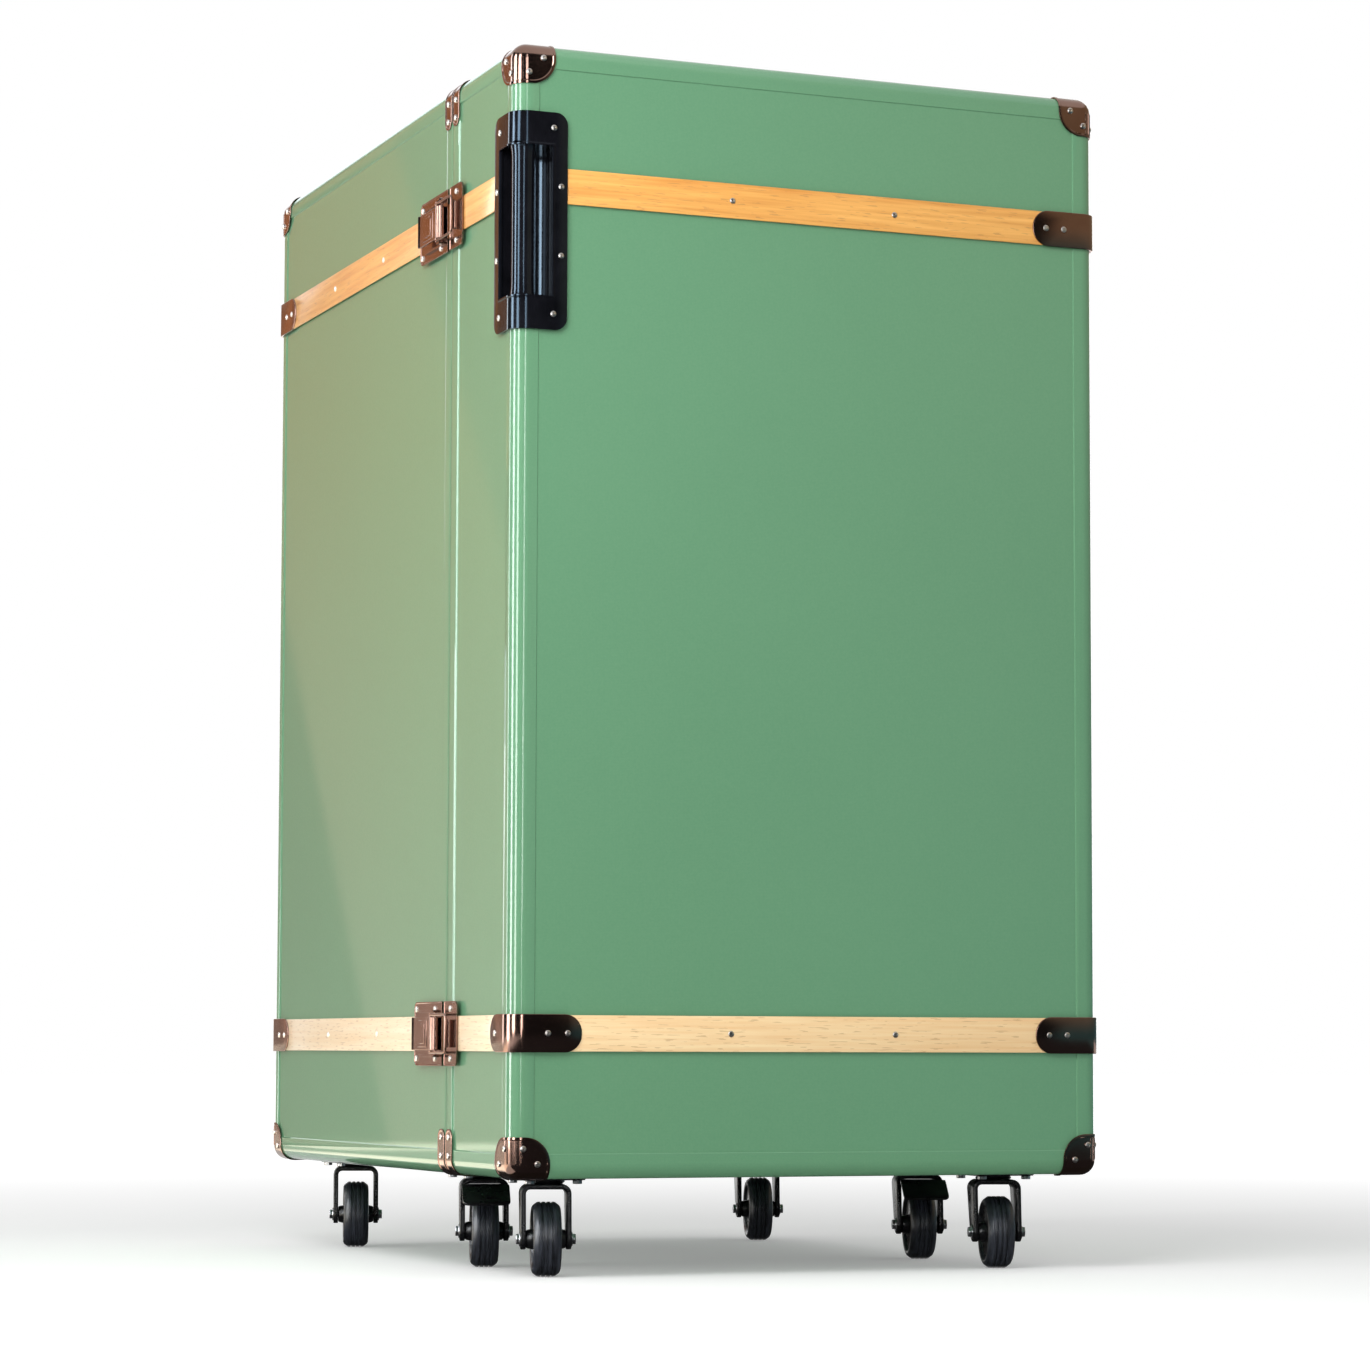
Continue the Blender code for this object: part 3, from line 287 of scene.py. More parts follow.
# %% [markdown]
# ### Cards that only reflections see
#
# A glossy surface shows what stands around it, and so does metal. Photographers put black flags and white
# boards just outside the picture for that, and these cards do the same: only reflections see them, and they
# light nothing. A curved card is a short upright line that is spun round the stage.


# %% Make cards that only reflections see
def add_card(name, shape, shade):
    """Adds a card that only reflections see. The function shade turns its coordinates into a colour."""
    mesh = bpy.data.meshes.new(name)
    shape.to_mesh(mesh)
    shape.free()
    paint, shader, where = new_finish(
        name, Base_Color=(0.0, 0.0, 0.0, 1.0), Roughness=1.0, Specular_IOR_Level=0.0, Emission_Strength=1.0,
    )
    feed(shader, Emission_Color=shade(*where.axes()))
    mesh.materials.append(paint)
    holder = bpy.data.objects.new(name, mesh)
    bpy.context.scene.collection.objects.link(holder)
    holder.visible_camera = False
    holder.visible_diffuse = False
    holder.visible_shadow = False


def curtain(name, radius, span, rise, shade):
    """Hangs a curved card round the stage, between two angles that start at the left and pass the front."""
    shape = bmesh.new()
    first = math.radians(180 + span[0])
    foot = [shape.verts.new((radius * math.cos(first), radius * math.sin(first), z)) for z in rise]
    line = shape.edges.new(foot)
    bmesh.ops.spin(
        shape, geom=[*foot, line], cent=(0, 0, 0), axis=(0, 0, 1), dvec=(0, 0, 0),
        angle=math.radians(span[1] - span[0]), steps=24, use_merge=False, use_normal_flip=False,
        use_duplicate=False,
    )
    add_card(name, shape, shade)


def rug(name, low, high, shade):
    """Lays a card on the floor between two corners."""
    shape = bmesh.new()
    size = ((high[0] - low[0]) / 2, (high[1] - low[1]) / 2)
    middle = ((low[0] + high[0]) / 2, (low[1] + high[1]) / 2, 0.002)
    matrix = Matrix.Translation(middle) @ Matrix.Diagonal((*size, 1.0, 1.0))
    bmesh.ops.create_grid(shape, x_segments=1, y_segments=1, size=1.0, matrix=matrix)
    add_card(name, shape, shade)


print("card helpers ready")

# %% [markdown]
# A nearly black curtain hangs round the front and the right, and keeps the covering's colour deep. A warm
# wall at the back on the left gives the left side its yellow cast: it has a bright foot, a dark wedge and a
# dimmer corner. Six white strips make the lines along the edges, and rugs on the floor darken or brighten
# what looks down.

# %% Place the cards
CURTAIN_FRONT = (0.018, 0.019, 0.022)
CURTAIN_LOW, CURTAIN_HIGH = (0.05, 0.17, 0.20), (0.42, 0.33, 0.22)
WALL_LOW, WALL_HIGH = (0.80, 0.58, 0.47), (0.80, 0.34, 0.14)
WALL_FOOT, WALL_DARK = (3.0, 2.75, 2.2), (0.02, 0.02, 0.02)
CRISP = 60.0


def to_the_right(x):
    """Returns a mask that grows towards the far right of the stage."""
    return ((x - 1.9) * 1.4).clamp()


def curtain_shade(x, y, z):
    """Nearly black in front, lighter to the right: bluish low down, warm high up."""
    right = (z * 0.5 - 0.2).clamp().mix(CURTAIN_LOW, CURTAIN_HIGH)
    return to_the_right(x).mix(CURTAIN_FRONT, right)


def wall_shade(x, y, z):
    """A warm wall with a bright foot, a dark wedge at its far end and a dimmer upper corner."""
    tone = ((z - 0.3) * 0.7).clamp().mix(WALL_LOW, WALL_HIGH)
    wedge = ((x + 1.845 - z * 0.194) * CRISP).clamp()
    corner = ((z * 0.252 - 2.425 - x) * CRISP).clamp()
    tone = (wedge * 0.5 + corner * 0.35).clamp().mix(tone, WALL_DARK)
    return ((z - 0.012) * 90.0).clamp().mix(WALL_FOOT, tone)


def strip_shade(glow):
    """Returns the shade of a strip that is slightly warm at its foot and slightly cool at its top."""
    warm, cool = (glow, glow, 0.97 * glow), (0.9 * glow, 0.95 * glow, glow)
    return lambda x, y, z: (z * 0.4).clamp().mix(warm, cool)


curtain("dark_curtain", radius=6.0, span=(-48, 236), rise=(-0.5, 6.0), shade=curtain_shade)
curtain("warm_wall", radius=5.0, span=(-80, -54), rise=(-0.5, 3.6), shade=wall_shade)
# The middle and half width in degrees, the height of the foot, and the glow
STRIPS = {
    "far": (-92, 9.0, 0.0, 2.0),
    "left": (-48, 5.0, 0.0, 7.0),
    "middle": (-2, 5.5, 0.0, 18.0),
    "split": (33, 6.0, 0.3, 14.0),
    "front": (79, 3.0, 0.5, 6.0),
    "right": (228, 5.0, 0.0, 4.0),
}
STRIP_RADIUS = 4.0
STRIP_TOP = 3.4
for name, (angle, half, foot, glow) in STRIPS.items():
    span = (angle - half, angle + half)
    curtain(f"white_strip_{name}", STRIP_RADIUS, span, (foot, STRIP_TOP), strip_shade(glow))
rug("dark_rug", (-1.60, -6.0), (6.0, -0.50),
    lambda x, y, z: to_the_right(x).mix((0.04, 0.04, 0.045), (0.10, 0.22, 0.25)))
rug("dark_rug_under", (-0.42, -0.50), (1.50, 0.50),
    lambda x, y, z: (x * 0.5).clamp().mix((0.03, 0.03, 0.03), (0.05, 0.05, 0.05)))
rug("bright_rug", (-2.4, -0.2), (-0.44, 4.9),
    lambda x, y, z: ((y - 0.8) * 2.0).clamp().mix((3.4, 3.1, 2.5), (0.90, 0.85, 0.72)))

# %% [markdown]
# ## Finishes
#
# The covering is a glossy green cloth: a fine weave under a clear coat. Its sheets are never quite flat, so
# a slow, shallow bump bends the reflections. The weave is a product of two sine waves with 1.6 mm threads,
# summed over the three directions so that it shows on every face. The gloss comes almost only from the
# coat, because a rough shine underneath would turn the colour milky.


# %% Green covering
covering, shader, place = new_finish(
    "green_covering", Specular_IOR_Level=0.08, Coat_Weight=0.9, Coat_Roughness=0.035,
)
THREAD = 0.0016
x, y, z = [(axis * (2 * math.pi / THREAD)).sine() for axis in place.axes()]
weave = x * z + y * z + x * y
cloud = place.noise(2.2, 3.0)
speck = place.noise(420.0, 2.0)
tone = cloud.mix((0.108, 0.272, 0.149), (0.132, 0.312, 0.172))
tone = (weave * 0.07 + speck * 0.5).clamp().mix(tone, (0.172, 0.345, 0.200))
buckle = place.noise(3.0, 1.0)
normal = (weave * 0.5 + speck).bump(0.000016, 0.5, buckle.bump(0.004, 0.08))
feed(shader, Base_Color=tone, Roughness=cloud * 0.12 + 0.42, Normal=normal)
print("covering nodes:", len(covering.node_tree.nodes))

# %% [markdown]
# Oak shows long growth lines along the board and short dark pores. Noise that is stretched along the run
# gives both: the same noise, squeezed more or less. The upper row is a deeper amber than the lower one, so
# the colour also follows the height, and the lower boards on the sides are paler than the one in front. One
# function makes the oak for boards that run along X and for boards that run along Y.


# %% Oak for two directions
AMBER_LIGHT, AMBER_DARK = (0.96, 0.52, 0.140), (0.68, 0.28, 0.050)


def make_oak(name, stretch, pale_low, dark_low):
    """Makes varnished oak whose grain runs along one axis, with its own two tones for the lower row."""
    oak, shader, place = new_finish(name, Coat_Weight=0.6, Coat_Roughness=0.15)
    bands = place.scaled(stretch).noise(1.0, 3.0, 0.6)
    lines = place.scaled([value * 4.0 for value in stretch]).noise(1.0, 2.0, 0.6)
    pores = place.scaled([value * 9.0 + 30.0 for value in stretch]).noise(1.0, 1.0) > 0.64
    height = place.axes()[2]
    amber = ((height - 0.30) * 1.3).clamp()
    light = amber.mix(pale_low, AMBER_LIGHT)
    dark = amber.mix(dark_low, AMBER_DARK)
    grain = (bands * 1.5 - 0.35 + (lines - 0.5) * 0.9).clamp()
    tone = grain.mix(dark, light)
    tone = (pores * 0.35).mix(tone, (0.38, 0.17, 0.06))
    normal = (grain - pores * 0.6).bump(0.0003, 0.3)
    feed(shader, Base_Color=tone, Roughness=0.48 - grain * 0.12, Normal=normal)
    print(name, "grain stretched by", stretch)
    return oak


oak_along_x = make_oak(
    "oak_along_x", stretch=(2.4, 62.0, 62.0), pale_low=(0.98, 0.77, 0.45), dark_low=(0.87, 0.56, 0.27),
)
oak_along_y = make_oak(
    "oak_along_y", stretch=(62.0, 2.4, 62.0), pale_low=(0.98, 0.81, 0.57), dark_low=(0.89, 0.64, 0.38),
)

# %% [markdown]
# The fittings are plated in a dark bronze that is nearly black where it mirrors the curtain and pale brown
# where it mirrors the wall and the floor. A slow noise makes the plating thinner here and there. The screws
# are bright nickel, and the casters' bolts are zinc.


# %% Metals
ORANGE_PEEL = 0.00003


def make_metal(name, thin, thick, rough):
    """Makes a plated metal with patches of two tones and a slight orange peel."""
    metal, shader, place = new_finish(name, Metallic=1.0)
    patch = place.noise(24.0, 4.0, 0.6)
    grit = place.noise(900.0, 2.0)
    tone = (patch * 1.6 - 0.3).clamp().mix(thick, thin)
    normal = (patch * 0.5 + grit * 0.2).bump(ORANGE_PEEL, 0.5)
    feed(shader, Base_Color=tone, Roughness=patch * 0.10 + (grit * 0.05 + rough - 0.07), Normal=normal)
    return metal


bronze = make_metal("dark_bronze", thin=(0.290, 0.185, 0.150), thick=(0.200, 0.118, 0.092), rough=0.15)
nickel = make_metal("bright_nickel", thin=(0.72, 0.68, 0.64), thick=(0.56, 0.52, 0.49), rough=0.28)
zinc = make_metal("zinc_plate", thin=(0.62, 0.63, 0.66), thick=(0.42, 0.43, 0.46), rough=0.28)
print("metals:", bronze.name, nickel.name, zinc.name)

# %% [markdown]
# The handle is moulded in a glossy black that shines slightly blue, and the casters are painted steel with
# a duller coat. The tyres are rubber. Streaks and scuffs run along the tread, and their noise is turned to
# line up with the axles. They vary the tread's roughness and bump. Where they pile up, a pale blue-grey is
# painted into the colour: a painted highlight of the glossy rubber. All three need some tone and texture,
# because a perfectly even black shows no shape.


# %% Blacks
def make_black(name, dark, pale, rough, spread, texture, depth, tint=(1.0, 1.0, 1.0)):
    """Makes a black with dusty patches and a fine texture."""
    black, shader, place = new_finish(name, Specular_IOR_Level=0.4, Specular_Tint=(*tint, 1.0))
    dust = place.noise(30.0, 5.0, 0.65)
    fine = place.noise(texture, 2.0)
    tone = (dust * 1.8 - 0.5).clamp().mix(dark, pale)
    normal = (dust * 0.3 + fine * 0.7).bump(depth, 0.25)
    feed(shader, Base_Color=tone, Roughness=dust * spread + (rough - spread / 2), Normal=normal)
    return black


handle_black = make_black(
    "gloss_black", dark=(0.003, 0.003, 0.004), pale=(0.009, 0.009, 0.012), rough=0.13, spread=0.06,
    texture=700.0, depth=0.00002, tint=(0.50, 0.75, 1.0),
)
black_steel = make_black(
    "painted_steel", dark=(0.004, 0.004, 0.005), pale=(0.013, 0.013, 0.015), rough=0.28, spread=0.16,
    texture=500.0, depth=0.0001,
)
HEADING = math.radians(-16)
rubber, shader, place = new_finish("tyre_rubber")
turn = {"Vector": place, "Rotation": (0.0, 0.0, -HEADING)}
turned = place.add("Mapping", {"vector_type": "POINT"}, turn)
streak_and_sheen = turned.scaled((430.0, 24.0, 24.0)).noise(1.0, 3.0, 0.65)
scuff_and_sheen = turned.scaled((900.0, 160.0, 160.0)).noise(1.0, 2.0, 0.6)
# The pale blue-grey of the streaks is a painted highlight. The near black is the rubber's own colour.
tone = (streak_and_sheen * 2.4 + scuff_and_sheen * 0.8 - 1.15).clamp().mix((0.004, 0.005, 0.007), (0.050, 0.056, 0.074))
feed(shader, Base_Color=tone, Roughness=0.46 - streak_and_sheen * 0.22, Normal=(streak_and_sheen + scuff_and_sheen * 0.5).bump(0.0003, 0.4))
print("blacks:", handle_black.name, black_steel.name, rubber.name)

# %% [markdown]
# Inside, the shelves are walnut and the cases are lined with a tan cloth. The photograph shows the trunk
# shut, so both are a maker's usual choice. The grain runs along the longest side of most boards: across the
# door's shelves, and from front to back in the bottle bays.


# %% Walnut and lining
def make_walnut(name, stretch):
    """Makes oiled walnut whose grain runs along one axis."""
    walnut, shader, place = new_finish(name, Coat_Weight=0.15, Coat_Roughness=0.25)
    bands = place.scaled(stretch).noise(1.0, 4.0, 0.6)
    pores = place.scaled([value * 11.3 for value in stretch]).noise(1.0, 1.0) > 0.62
    tone = (bands * 1.7 - 0.4).clamp().mix((0.085, 0.036, 0.016), (0.235, 0.115, 0.056))
    tone = (pores * 0.5).mix(tone, (0.040, 0.017, 0.008))
    normal = (bands - pores * 0.5).bump(0.0003, 0.3)
    feed(shader, Base_Color=tone, Roughness=0.50 - bands * 0.15, Normal=normal)
    return walnut


walnut_along_x = make_walnut("walnut_along_x", (2.5, 46.0, 46.0))
walnut_along_y = make_walnut("walnut_along_y", (46.0, 2.5, 46.0))
lining, shader, place = new_finish("tan_lining", Roughness=0.9, Sheen_Weight=0.3)
cloud = place.noise(5.0, 4.0)
nap = place.noise(900.0, 2.0)
tone = (cloud * 0.6 + nap * 0.4).mix((0.225, 0.150, 0.085), (0.360, 0.255, 0.155))
feed(shader, Base_Color=tone, Normal=nap.bump(0.0003, 0.5))
print("inside:", walnut_along_x.name, walnut_along_y.name, lining.name)

# %% [markdown]
# ## The covered cases
#
# A few helpers come first, because nearly every piece uses them. They start a box, round its edges, cut it
# along a plane, and turn a finished shape into a piece that rides on a body and stands for its solids. Two
# modifiers finish thin pieces: Solidify gives an open skin its wall, and Bevel eases the edges that are
# left sharp.


# %% Helpers for shapes
def box_shape(corner, opposite, shape=None):
    """Starts a shape from a box between two corners, or adds the box to a shape."""
    shape = shape or bmesh.new()
    low = Vector(min(pair) for pair in zip(corner, opposite))
    high = Vector(max(pair) for pair in zip(corner, opposite))
    matrix = Matrix.Translation((low + high) / 2) @ Matrix.Diagonal((*(high - low), 1.0))
    bmesh.ops.create_cube(shape, size=1.0, matrix=matrix)
    return shape


def bevel(shape, geom, radius, steps, affect="EDGES"):
    """Rounds edges or corners."""
    bmesh.ops.bevel(
        shape, geom=list(geom), offset=radius, segments=steps, profile=0.5, affect=affect, material=-1,
    )


def slice_shape(shape, axis, place):
    """Cuts all the faces of a shape along a plane across one axis."""
    normal = Vector((0, 0, 0))
    normal["xyz".index(axis)] = 1.0
    geom = shape.verts[:] + shape.edges[:] + shape.faces[:]
    bmesh.ops.bisect_plane(shape, geom=geom, dist=0.000001, plane_co=normal * place, plane_no=normal)


SHARP = math.radians(35)


def add_piece(name, shape, finishes, body, stands_for=()):
    """Turns a shape into a piece that rides on a body and stands for its CAD nodes."""
    mesh = bpy.data.meshes.new(name)
    shape.to_mesh(mesh)
    shape.free()
    for finish in finishes:
        mesh.materials.append(finish)
    mesh.shade_smooth()
    mesh.set_sharp_from_angle(angle=SHARP)
    piece = bpy.data.objects.new(name, mesh)
    bpy.context.scene.collection.objects.link(piece)
    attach(piece, body)
    if stands_for:
        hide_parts(*stands_for)
    print(name, "on", body, "with", len(mesh.polygons), "faces")
    return piece


def wall(piece, thickness, inner=0, offset=-1.0, even=True):
    """Gives an open skin its thickness, inwards unless the offset says otherwise."""
    modifier = piece.modifiers.new("wall", "SOLIDIFY")
    modifier.thickness = thickness
    modifier.offset = offset
    modifier.use_even_offset = even
    modifier.material_offset = inner


def ease(piece, radius, steps=2, angle=40):
    """Eases a piece's sharp edges."""
    modifier = piece.modifiers.new("ease", "BEVEL")
    modifier.width = radius
    modifier.segments = steps
    modifier.limit_method = "ANGLE"
    modifier.angle_limit = math.radians(angle)
    modifier.use_clamp_overlap = True


print("shape helpers ready")

# %% [markdown]
# Each half of the trunk is a box with one side open. A cube loses its mouth face and gets rounded edges.
# Planes then cut the faces a little way in from every edge: outside them is the binding, a strip of the
# same covering that is lapped over the edges, and inside them the panel is inset and sunk by about a
# millimetre. The step catches the light as a thin line. Cuts right beside the rounded edges and the mouth
# keep the smooth shading of the flat faces flat.


# %% Make a covered skin
BINDING = 0.026
BINDING_AT_SPLIT = 0.020
PANEL_STEP = (0.0010, -0.0012)
HOLD = EDGE_RADIUS + 0.0004
LIP = 0.0072


def cover_case(low, high, mouth):
    """Makes the covered skin of a case that is open at the mouth."""
    shape = box_shape(low, high)
    opening = min(shape.faces, key=lambda face: abs(face.calc_center_median().y - mouth))
    bmesh.ops.delete(shape, geom=[opening], context="FACES_ONLY")
    bevel(shape, [edge for edge in shape.edges if not edge.is_boundary], EDGE_RADIUS, EDGE_STEPS)
    inset_low = [value + BINDING for value in low]
    inset_high = [value - BINDING for value in high]
    if abs(low.y - mouth) < abs(high.y - mouth):
        inset_low[1] = mouth + BINDING_AT_SPLIT
    else:
        inset_high[1] = mouth - BINDING_AT_SPLIT
    for index, axis in enumerate("xyz"):
        slice_shape(shape, axis, inset_low[index])
        slice_shape(shape, axis, inset_high[index])
        slice_shape(shape, axis, low[index] + HOLD)
        slice_shape(shape, axis, high[index] - HOLD)
    slice_shape(shape, "y", mouth + (LIP if inset_low[1] > mouth else -LIP))
    panels = []
    for face in shape.faces:
        middle = face.calc_center_median()
        if sum(a < value < b for a, value, b in zip(inset_low, middle, inset_high)) >= 2:
            panels.append(face)
    width, rise = PANEL_STEP
    bmesh.ops.inset_region(shape, faces=panels, thickness=width, depth=rise, use_even_offset=True)
    print("panels sunk:", len(panels))
    return shape


main_cover = cover_case(main_low, main_high, main_low.y)
door_cover = cover_case(door_low, door_high, door_high.y)

# %% [markdown]
# The door's near edge has a notch for the handle. It is cut out by slicing along its sides and deleting the
# faces between them. A second set of cuts round the notch again holds the shading flat. Then both skins get
# their walls, with the lining on the inner side.

# %% Cut the notch and add the cases
HANDLE_Z = (BOX_HIGH - 0.307, BOX_HIGH - 0.074)
MOUTH_IN = 0.0335
MOUTH_Z = (HANDLE_Z[0] + MOUTH_IN, HANDLE_Z[1] - MOUTH_IN)
NOTCH_GAP = 0.0033
NOTCH_Z = (MOUTH_Z[0] - NOTCH_GAP, MOUTH_Z[1] + NOTCH_GAP)
NOTCH = 0.0463
NOTCH_HOLD = 0.006
CASE_WALL = 0.012
MOUTH_EASE = 0.0065


def slice_window(shape, reach, z_span):
    """Cuts a shape along the sides of a window round the near upright edge."""
    for z in z_span:
        slice_shape(shape, "z", z)
    slice_shape(shape, "x", reach - HALF_W)
    slice_shape(shape, "y", reach - HALF_D)


def window_faces(shape, reach, z_span):
    """Returns the faces in a window round the near upright edge."""
    found = []
    for face in shape.faces:
        middle = face.calc_center_median()
        beside = middle.x < reach - HALF_W and middle.y < reach - HALF_D
        if beside and z_span[0] < middle.z < z_span[1]:
            found.append(face)
    return found


for hold in (0.0, NOTCH_HOLD):
    slice_window(door_cover, NOTCH + hold, (NOTCH_Z[0] - hold, NOTCH_Z[1] + hold))
bmesh.ops.delete(door_cover, geom=window_faces(door_cover, NOTCH, NOTCH_Z), context="FACES")
for name, shape, body, node in (
    ("main_covering", main_cover, "main_case", "main_shell"),
    ("door_covering", door_cover, "door", "door_shell"),
):
    piece = add_piece(name, shape, [covering, lining], body, [node])
    wall(piece, CASE_WALL, inner=1)
    ease(piece, MOUTH_EASE, 4, angle=60)

# %% [markdown]
# ## Screws
#
# The same small screw holds nearly everything: a domed head with a socket. It is modelled once, from a
# short cylinder with a rounded shoulder and an inset socket, and stamped wherever a screw goes.


# %% Model a screw
def rod(shape, radius, length, sides, matrix=Matrix()):
    """Adds a closed rod along Z, or along another line that a matrix gives."""
    bmesh.ops.create_cone(
        shape, cap_ends=True, segments=sides, radius1=radius, radius2=radius, depth=length, matrix=matrix,
    )


def keep_template(name, shape):
    """Keeps a shape as a mesh that can be stamped."""
    mesh = bpy.data.meshes.new(name)
    shape.to_mesh(mesh)
    shape.free()
    print(name, "template with", len(mesh.polygons), "faces")
    return mesh


SCREW_RADIUS = 0.0034
SCREW_RISE = 0.0020
SHOULDER_ROUND = 0.0009
shape = bmesh.new()
rod(shape, SCREW_RADIUS, SCREW_RISE, 14)
crown = max(shape.faces, key=lambda face: face.calc_center_median().z)
bevel(shape, crown.edges, SHOULDER_ROUND, 3)
crown = max(shape.faces, key=lambda face: face.calc_center_median().z)
bmesh.ops.inset_region(shape, faces=[crown], thickness=0.0010, depth=0.0002)
bmesh.ops.inset_region(shape, faces=[crown], thickness=0.0002, depth=-0.0009)
SCREW = keep_template("screw_head", shape)

# %% [markdown]
# A screw's place is given as a maker would: which face of the box it is in, how far along it, how high, and
# how far the head stands out. All the screws of one fitting make one piece.


# %% Stamp screws into a face
def on_face(side, along, z, out):
    """Returns a point some way out from a face of the box."""
    if side in ("front", "back"):
        return Vector((along, OUTWARD[side][1] * (HALF_D + out), z))
    return Vector((OUTWARD[side][0] * (HALF_W + out), along, z))


def stamp(shape, template, matrix, finish=None):
    """Adds a copy of a mesh to a shape, with one of the piece's finishes or its own."""
    verts = set(shape.verts)
    faces = set(shape.faces)
    shape.from_mesh(template)
    bmesh.ops.transform(shape, matrix=matrix, verts=[vert for vert in shape.verts if vert not in verts])
    if finish is not None:
        for face in shape.faces:
            if face not in faces:
                face.material_index = finish


def screw(shape, side, along, z, out, finish):
    """Puts a screw in a face of the box."""
    turn = Vector(OUTWARD[side]).to_track_quat("Z", "Y").to_matrix().to_4x4()
    stamp(shape, SCREW, Matrix.Translation(on_face(side, along, z, out)) @ turn, finish)


def add_screws(name, places, out, body):
    """Makes one piece of screws whose places are given as face, distance along it and height."""
    heads = bmesh.new()
    for side, along, z in places:
        screw(heads, side, along, z, out, 0)
    add_piece(name, heads, [nickel], body)


print("screw helpers ready")

# %% [markdown]
# ## Slats
#
# Two rows of oak slats run round the trunk. On the real one each side has its own board, which ends under a
# metal cap, so each board here is a straight bar with eased edges, and its grain runs along it. Beside the
# handle the boards of the upper row stop short.

# %% Cut the boards
SLAT_OUT = (0.0003, 0.0023)
SLAT_HALF = 0.019
SLAT_EASE = 0.0008
SLAT_SCREW = 0.096
END_GAP = 0.0005
UNDER_CAP = 0.030
BESIDE_HANDLE = 0.0575


def add_board(name, side, span, row, body, node, screws=()):
    """Makes one slat board on a face of the box."""
    z = ROWS[row]
    start = on_face(side, span[0], z - SLAT_HALF, SLAT_OUT[0])
    end = on_face(side, span[1], z + SLAT_HALF, SLAT_OUT[1])
    shape = box_shape(start, end)
    bevel(shape, shape.edges, SLAT_EASE, 3)
    for along in screws:
        screw(shape, side, along, z, SLAT_OUT[1], 1)
    oak = oak_along_x if side in ("front", "back") else oak_along_y
    add_piece(name, shape, [oak, nickel], body, [node])


main_middle = (main_low.y + HALF_D) / 2
main_screws = (main_middle - SLAT_SCREW, main_middle + SLAT_SCREW)
wide_screws = (-SLAT_SCREW, SLAT_SCREW)
main_span = (main_low.y + END_GAP, HALF_D - UNDER_CAP)
door_span = (UNDER_CAP - HALF_D, door_high.y - END_GAP)
wide_span = (UNDER_CAP - HALF_W, HALF_W - UNDER_CAP)
for row in ROWS:
    node = f"main_slat_{row}"
    for side in SIDES:
        add_board(f"slat_main_{side}_{row}", side, main_span, row, "main_case", node, main_screws)
    add_board(f"slat_back_{row}", "back", wide_span, row, "main_case", node, wide_screws)

add_board("slat_front_lower", "front", wide_span, "lower", "door", "door_slat_lower", wide_screws)
for side in SIDES:
    add_board(f"slat_door_{side}_lower", side, door_span, "lower", "door", "door_slat_lower")
short_span = (BESIDE_HANDLE - HALF_W, HALF_W - UNDER_CAP)
add_board("slat_front_upper", "front", short_span, "upper", "door", "door_slat_upper", wide_screws)
add_board("slat_door_right_upper", "right", door_span, "upper", "door", "door_slat_upper")
short_span = (BESIDE_HANDLE - HALF_D, door_high.y - END_GAP)
add_board("slat_door_left_upper", "left", short_span, "upper", "door", "door_slat_upper_left")

# %% [markdown]
# ## Slat caps
#
# A cap folds round each upright edge and hides the ends of two boards. Its skin starts from one upright
# line: the line is extruded along a face, spun a quarter turn round the edge and extruded along the next
# face.


# %% Helpers for folded skins
NEARLY = 0.00001


def face_out(shape, middle):
    """Turns an open skin so that its faces look away from a point."""
    bmesh.ops.recalc_face_normals(shape, faces=shape.faces[:])
    shape.normal_update()
    away = 0.0
    for face in shape.faces:
        away += (face.calc_center_median() - middle).dot(face.normal) * face.calc_area()
    if away < 0:
        bmesh.ops.reverse_faces(shape, faces=shape.faces[:])


def pull(shape, edges, move):
    """Extrudes edges by a vector and returns the new ones."""
    made = bmesh.ops.extrude_edge_only(shape, edges=edges)["geom"]
    verts = [item for item in made if isinstance(item, bmesh.types.BMVert)]
    bmesh.ops.translate(shape, verts=verts, vec=move)
    fresh = set(verts)
    return [item for item in made if isinstance(item, bmesh.types.BMEdge) and set(item.verts) <= fresh]


def swing(shape, edges, centre, axis, angle, steps):
    """Spins edges about an axis and returns the last ones."""
    made = bmesh.ops.spin(
        shape, geom=edges, cent=centre, axis=axis, dvec=(0, 0, 0), angle=angle, steps=steps,
        use_merge=False, use_normal_flip=False, use_duplicate=False,
    )["geom_last"]
    return [item for item in made if isinstance(item, bmesh.types.BMEdge)]


def fold_round_edge(signs, out, legs, z_span, steps=EDGE_STEPS):
    """Makes an open skin that is folded round one upright edge of the box, with a leg on each face."""
    sx, sy = signs
    leg, side_leg = legs
    shape = bmesh.new()
    y = sy * (HALF_D + out)
    line = [shape.verts.new((sx * (HALF_W - leg), y, z)) for z in z_span]
    edges = [shape.edges.new(line)]
    edges = pull(shape, edges, (sx * (leg - EDGE_RADIUS), 0, 0))
    centre = (sx * (HALF_W - EDGE_RADIUS), sy * (HALF_D - EDGE_RADIUS), 0)
    edges = swing(shape, edges, centre, (0, 0, 1), -sx * sy * math.pi / 2, steps)
    pull(shape, edges, (0, -sy * (side_leg - EDGE_RADIUS), 0))
    face_out(shape, Vector((0, 0, BOX_MID)))
    return shape


def free_corners(shape, signs, legs, z_span):
    """Returns the four free corners of a folded skin."""
    x_end = signs[0] * (HALF_W - legs[0])
    y_end = signs[1] * (HALF_D - legs[1])
    found = []
    for vert in shape.verts:
        at_end = abs(vert.co.x - x_end) < NEARLY or abs(vert.co.y - y_end) < NEARLY
        if at_end and min(abs(vert.co.z - z) for z in z_span) < NEARLY:
            found.append(vert)
    return found


print("fold helpers ready")

# %% [markdown]
# Rounding the four free corners gives a cap its tongue-shaped ends. The door is shallow, so its caps are
# shorter on the side. The place of the eighth cap belongs to the handle.

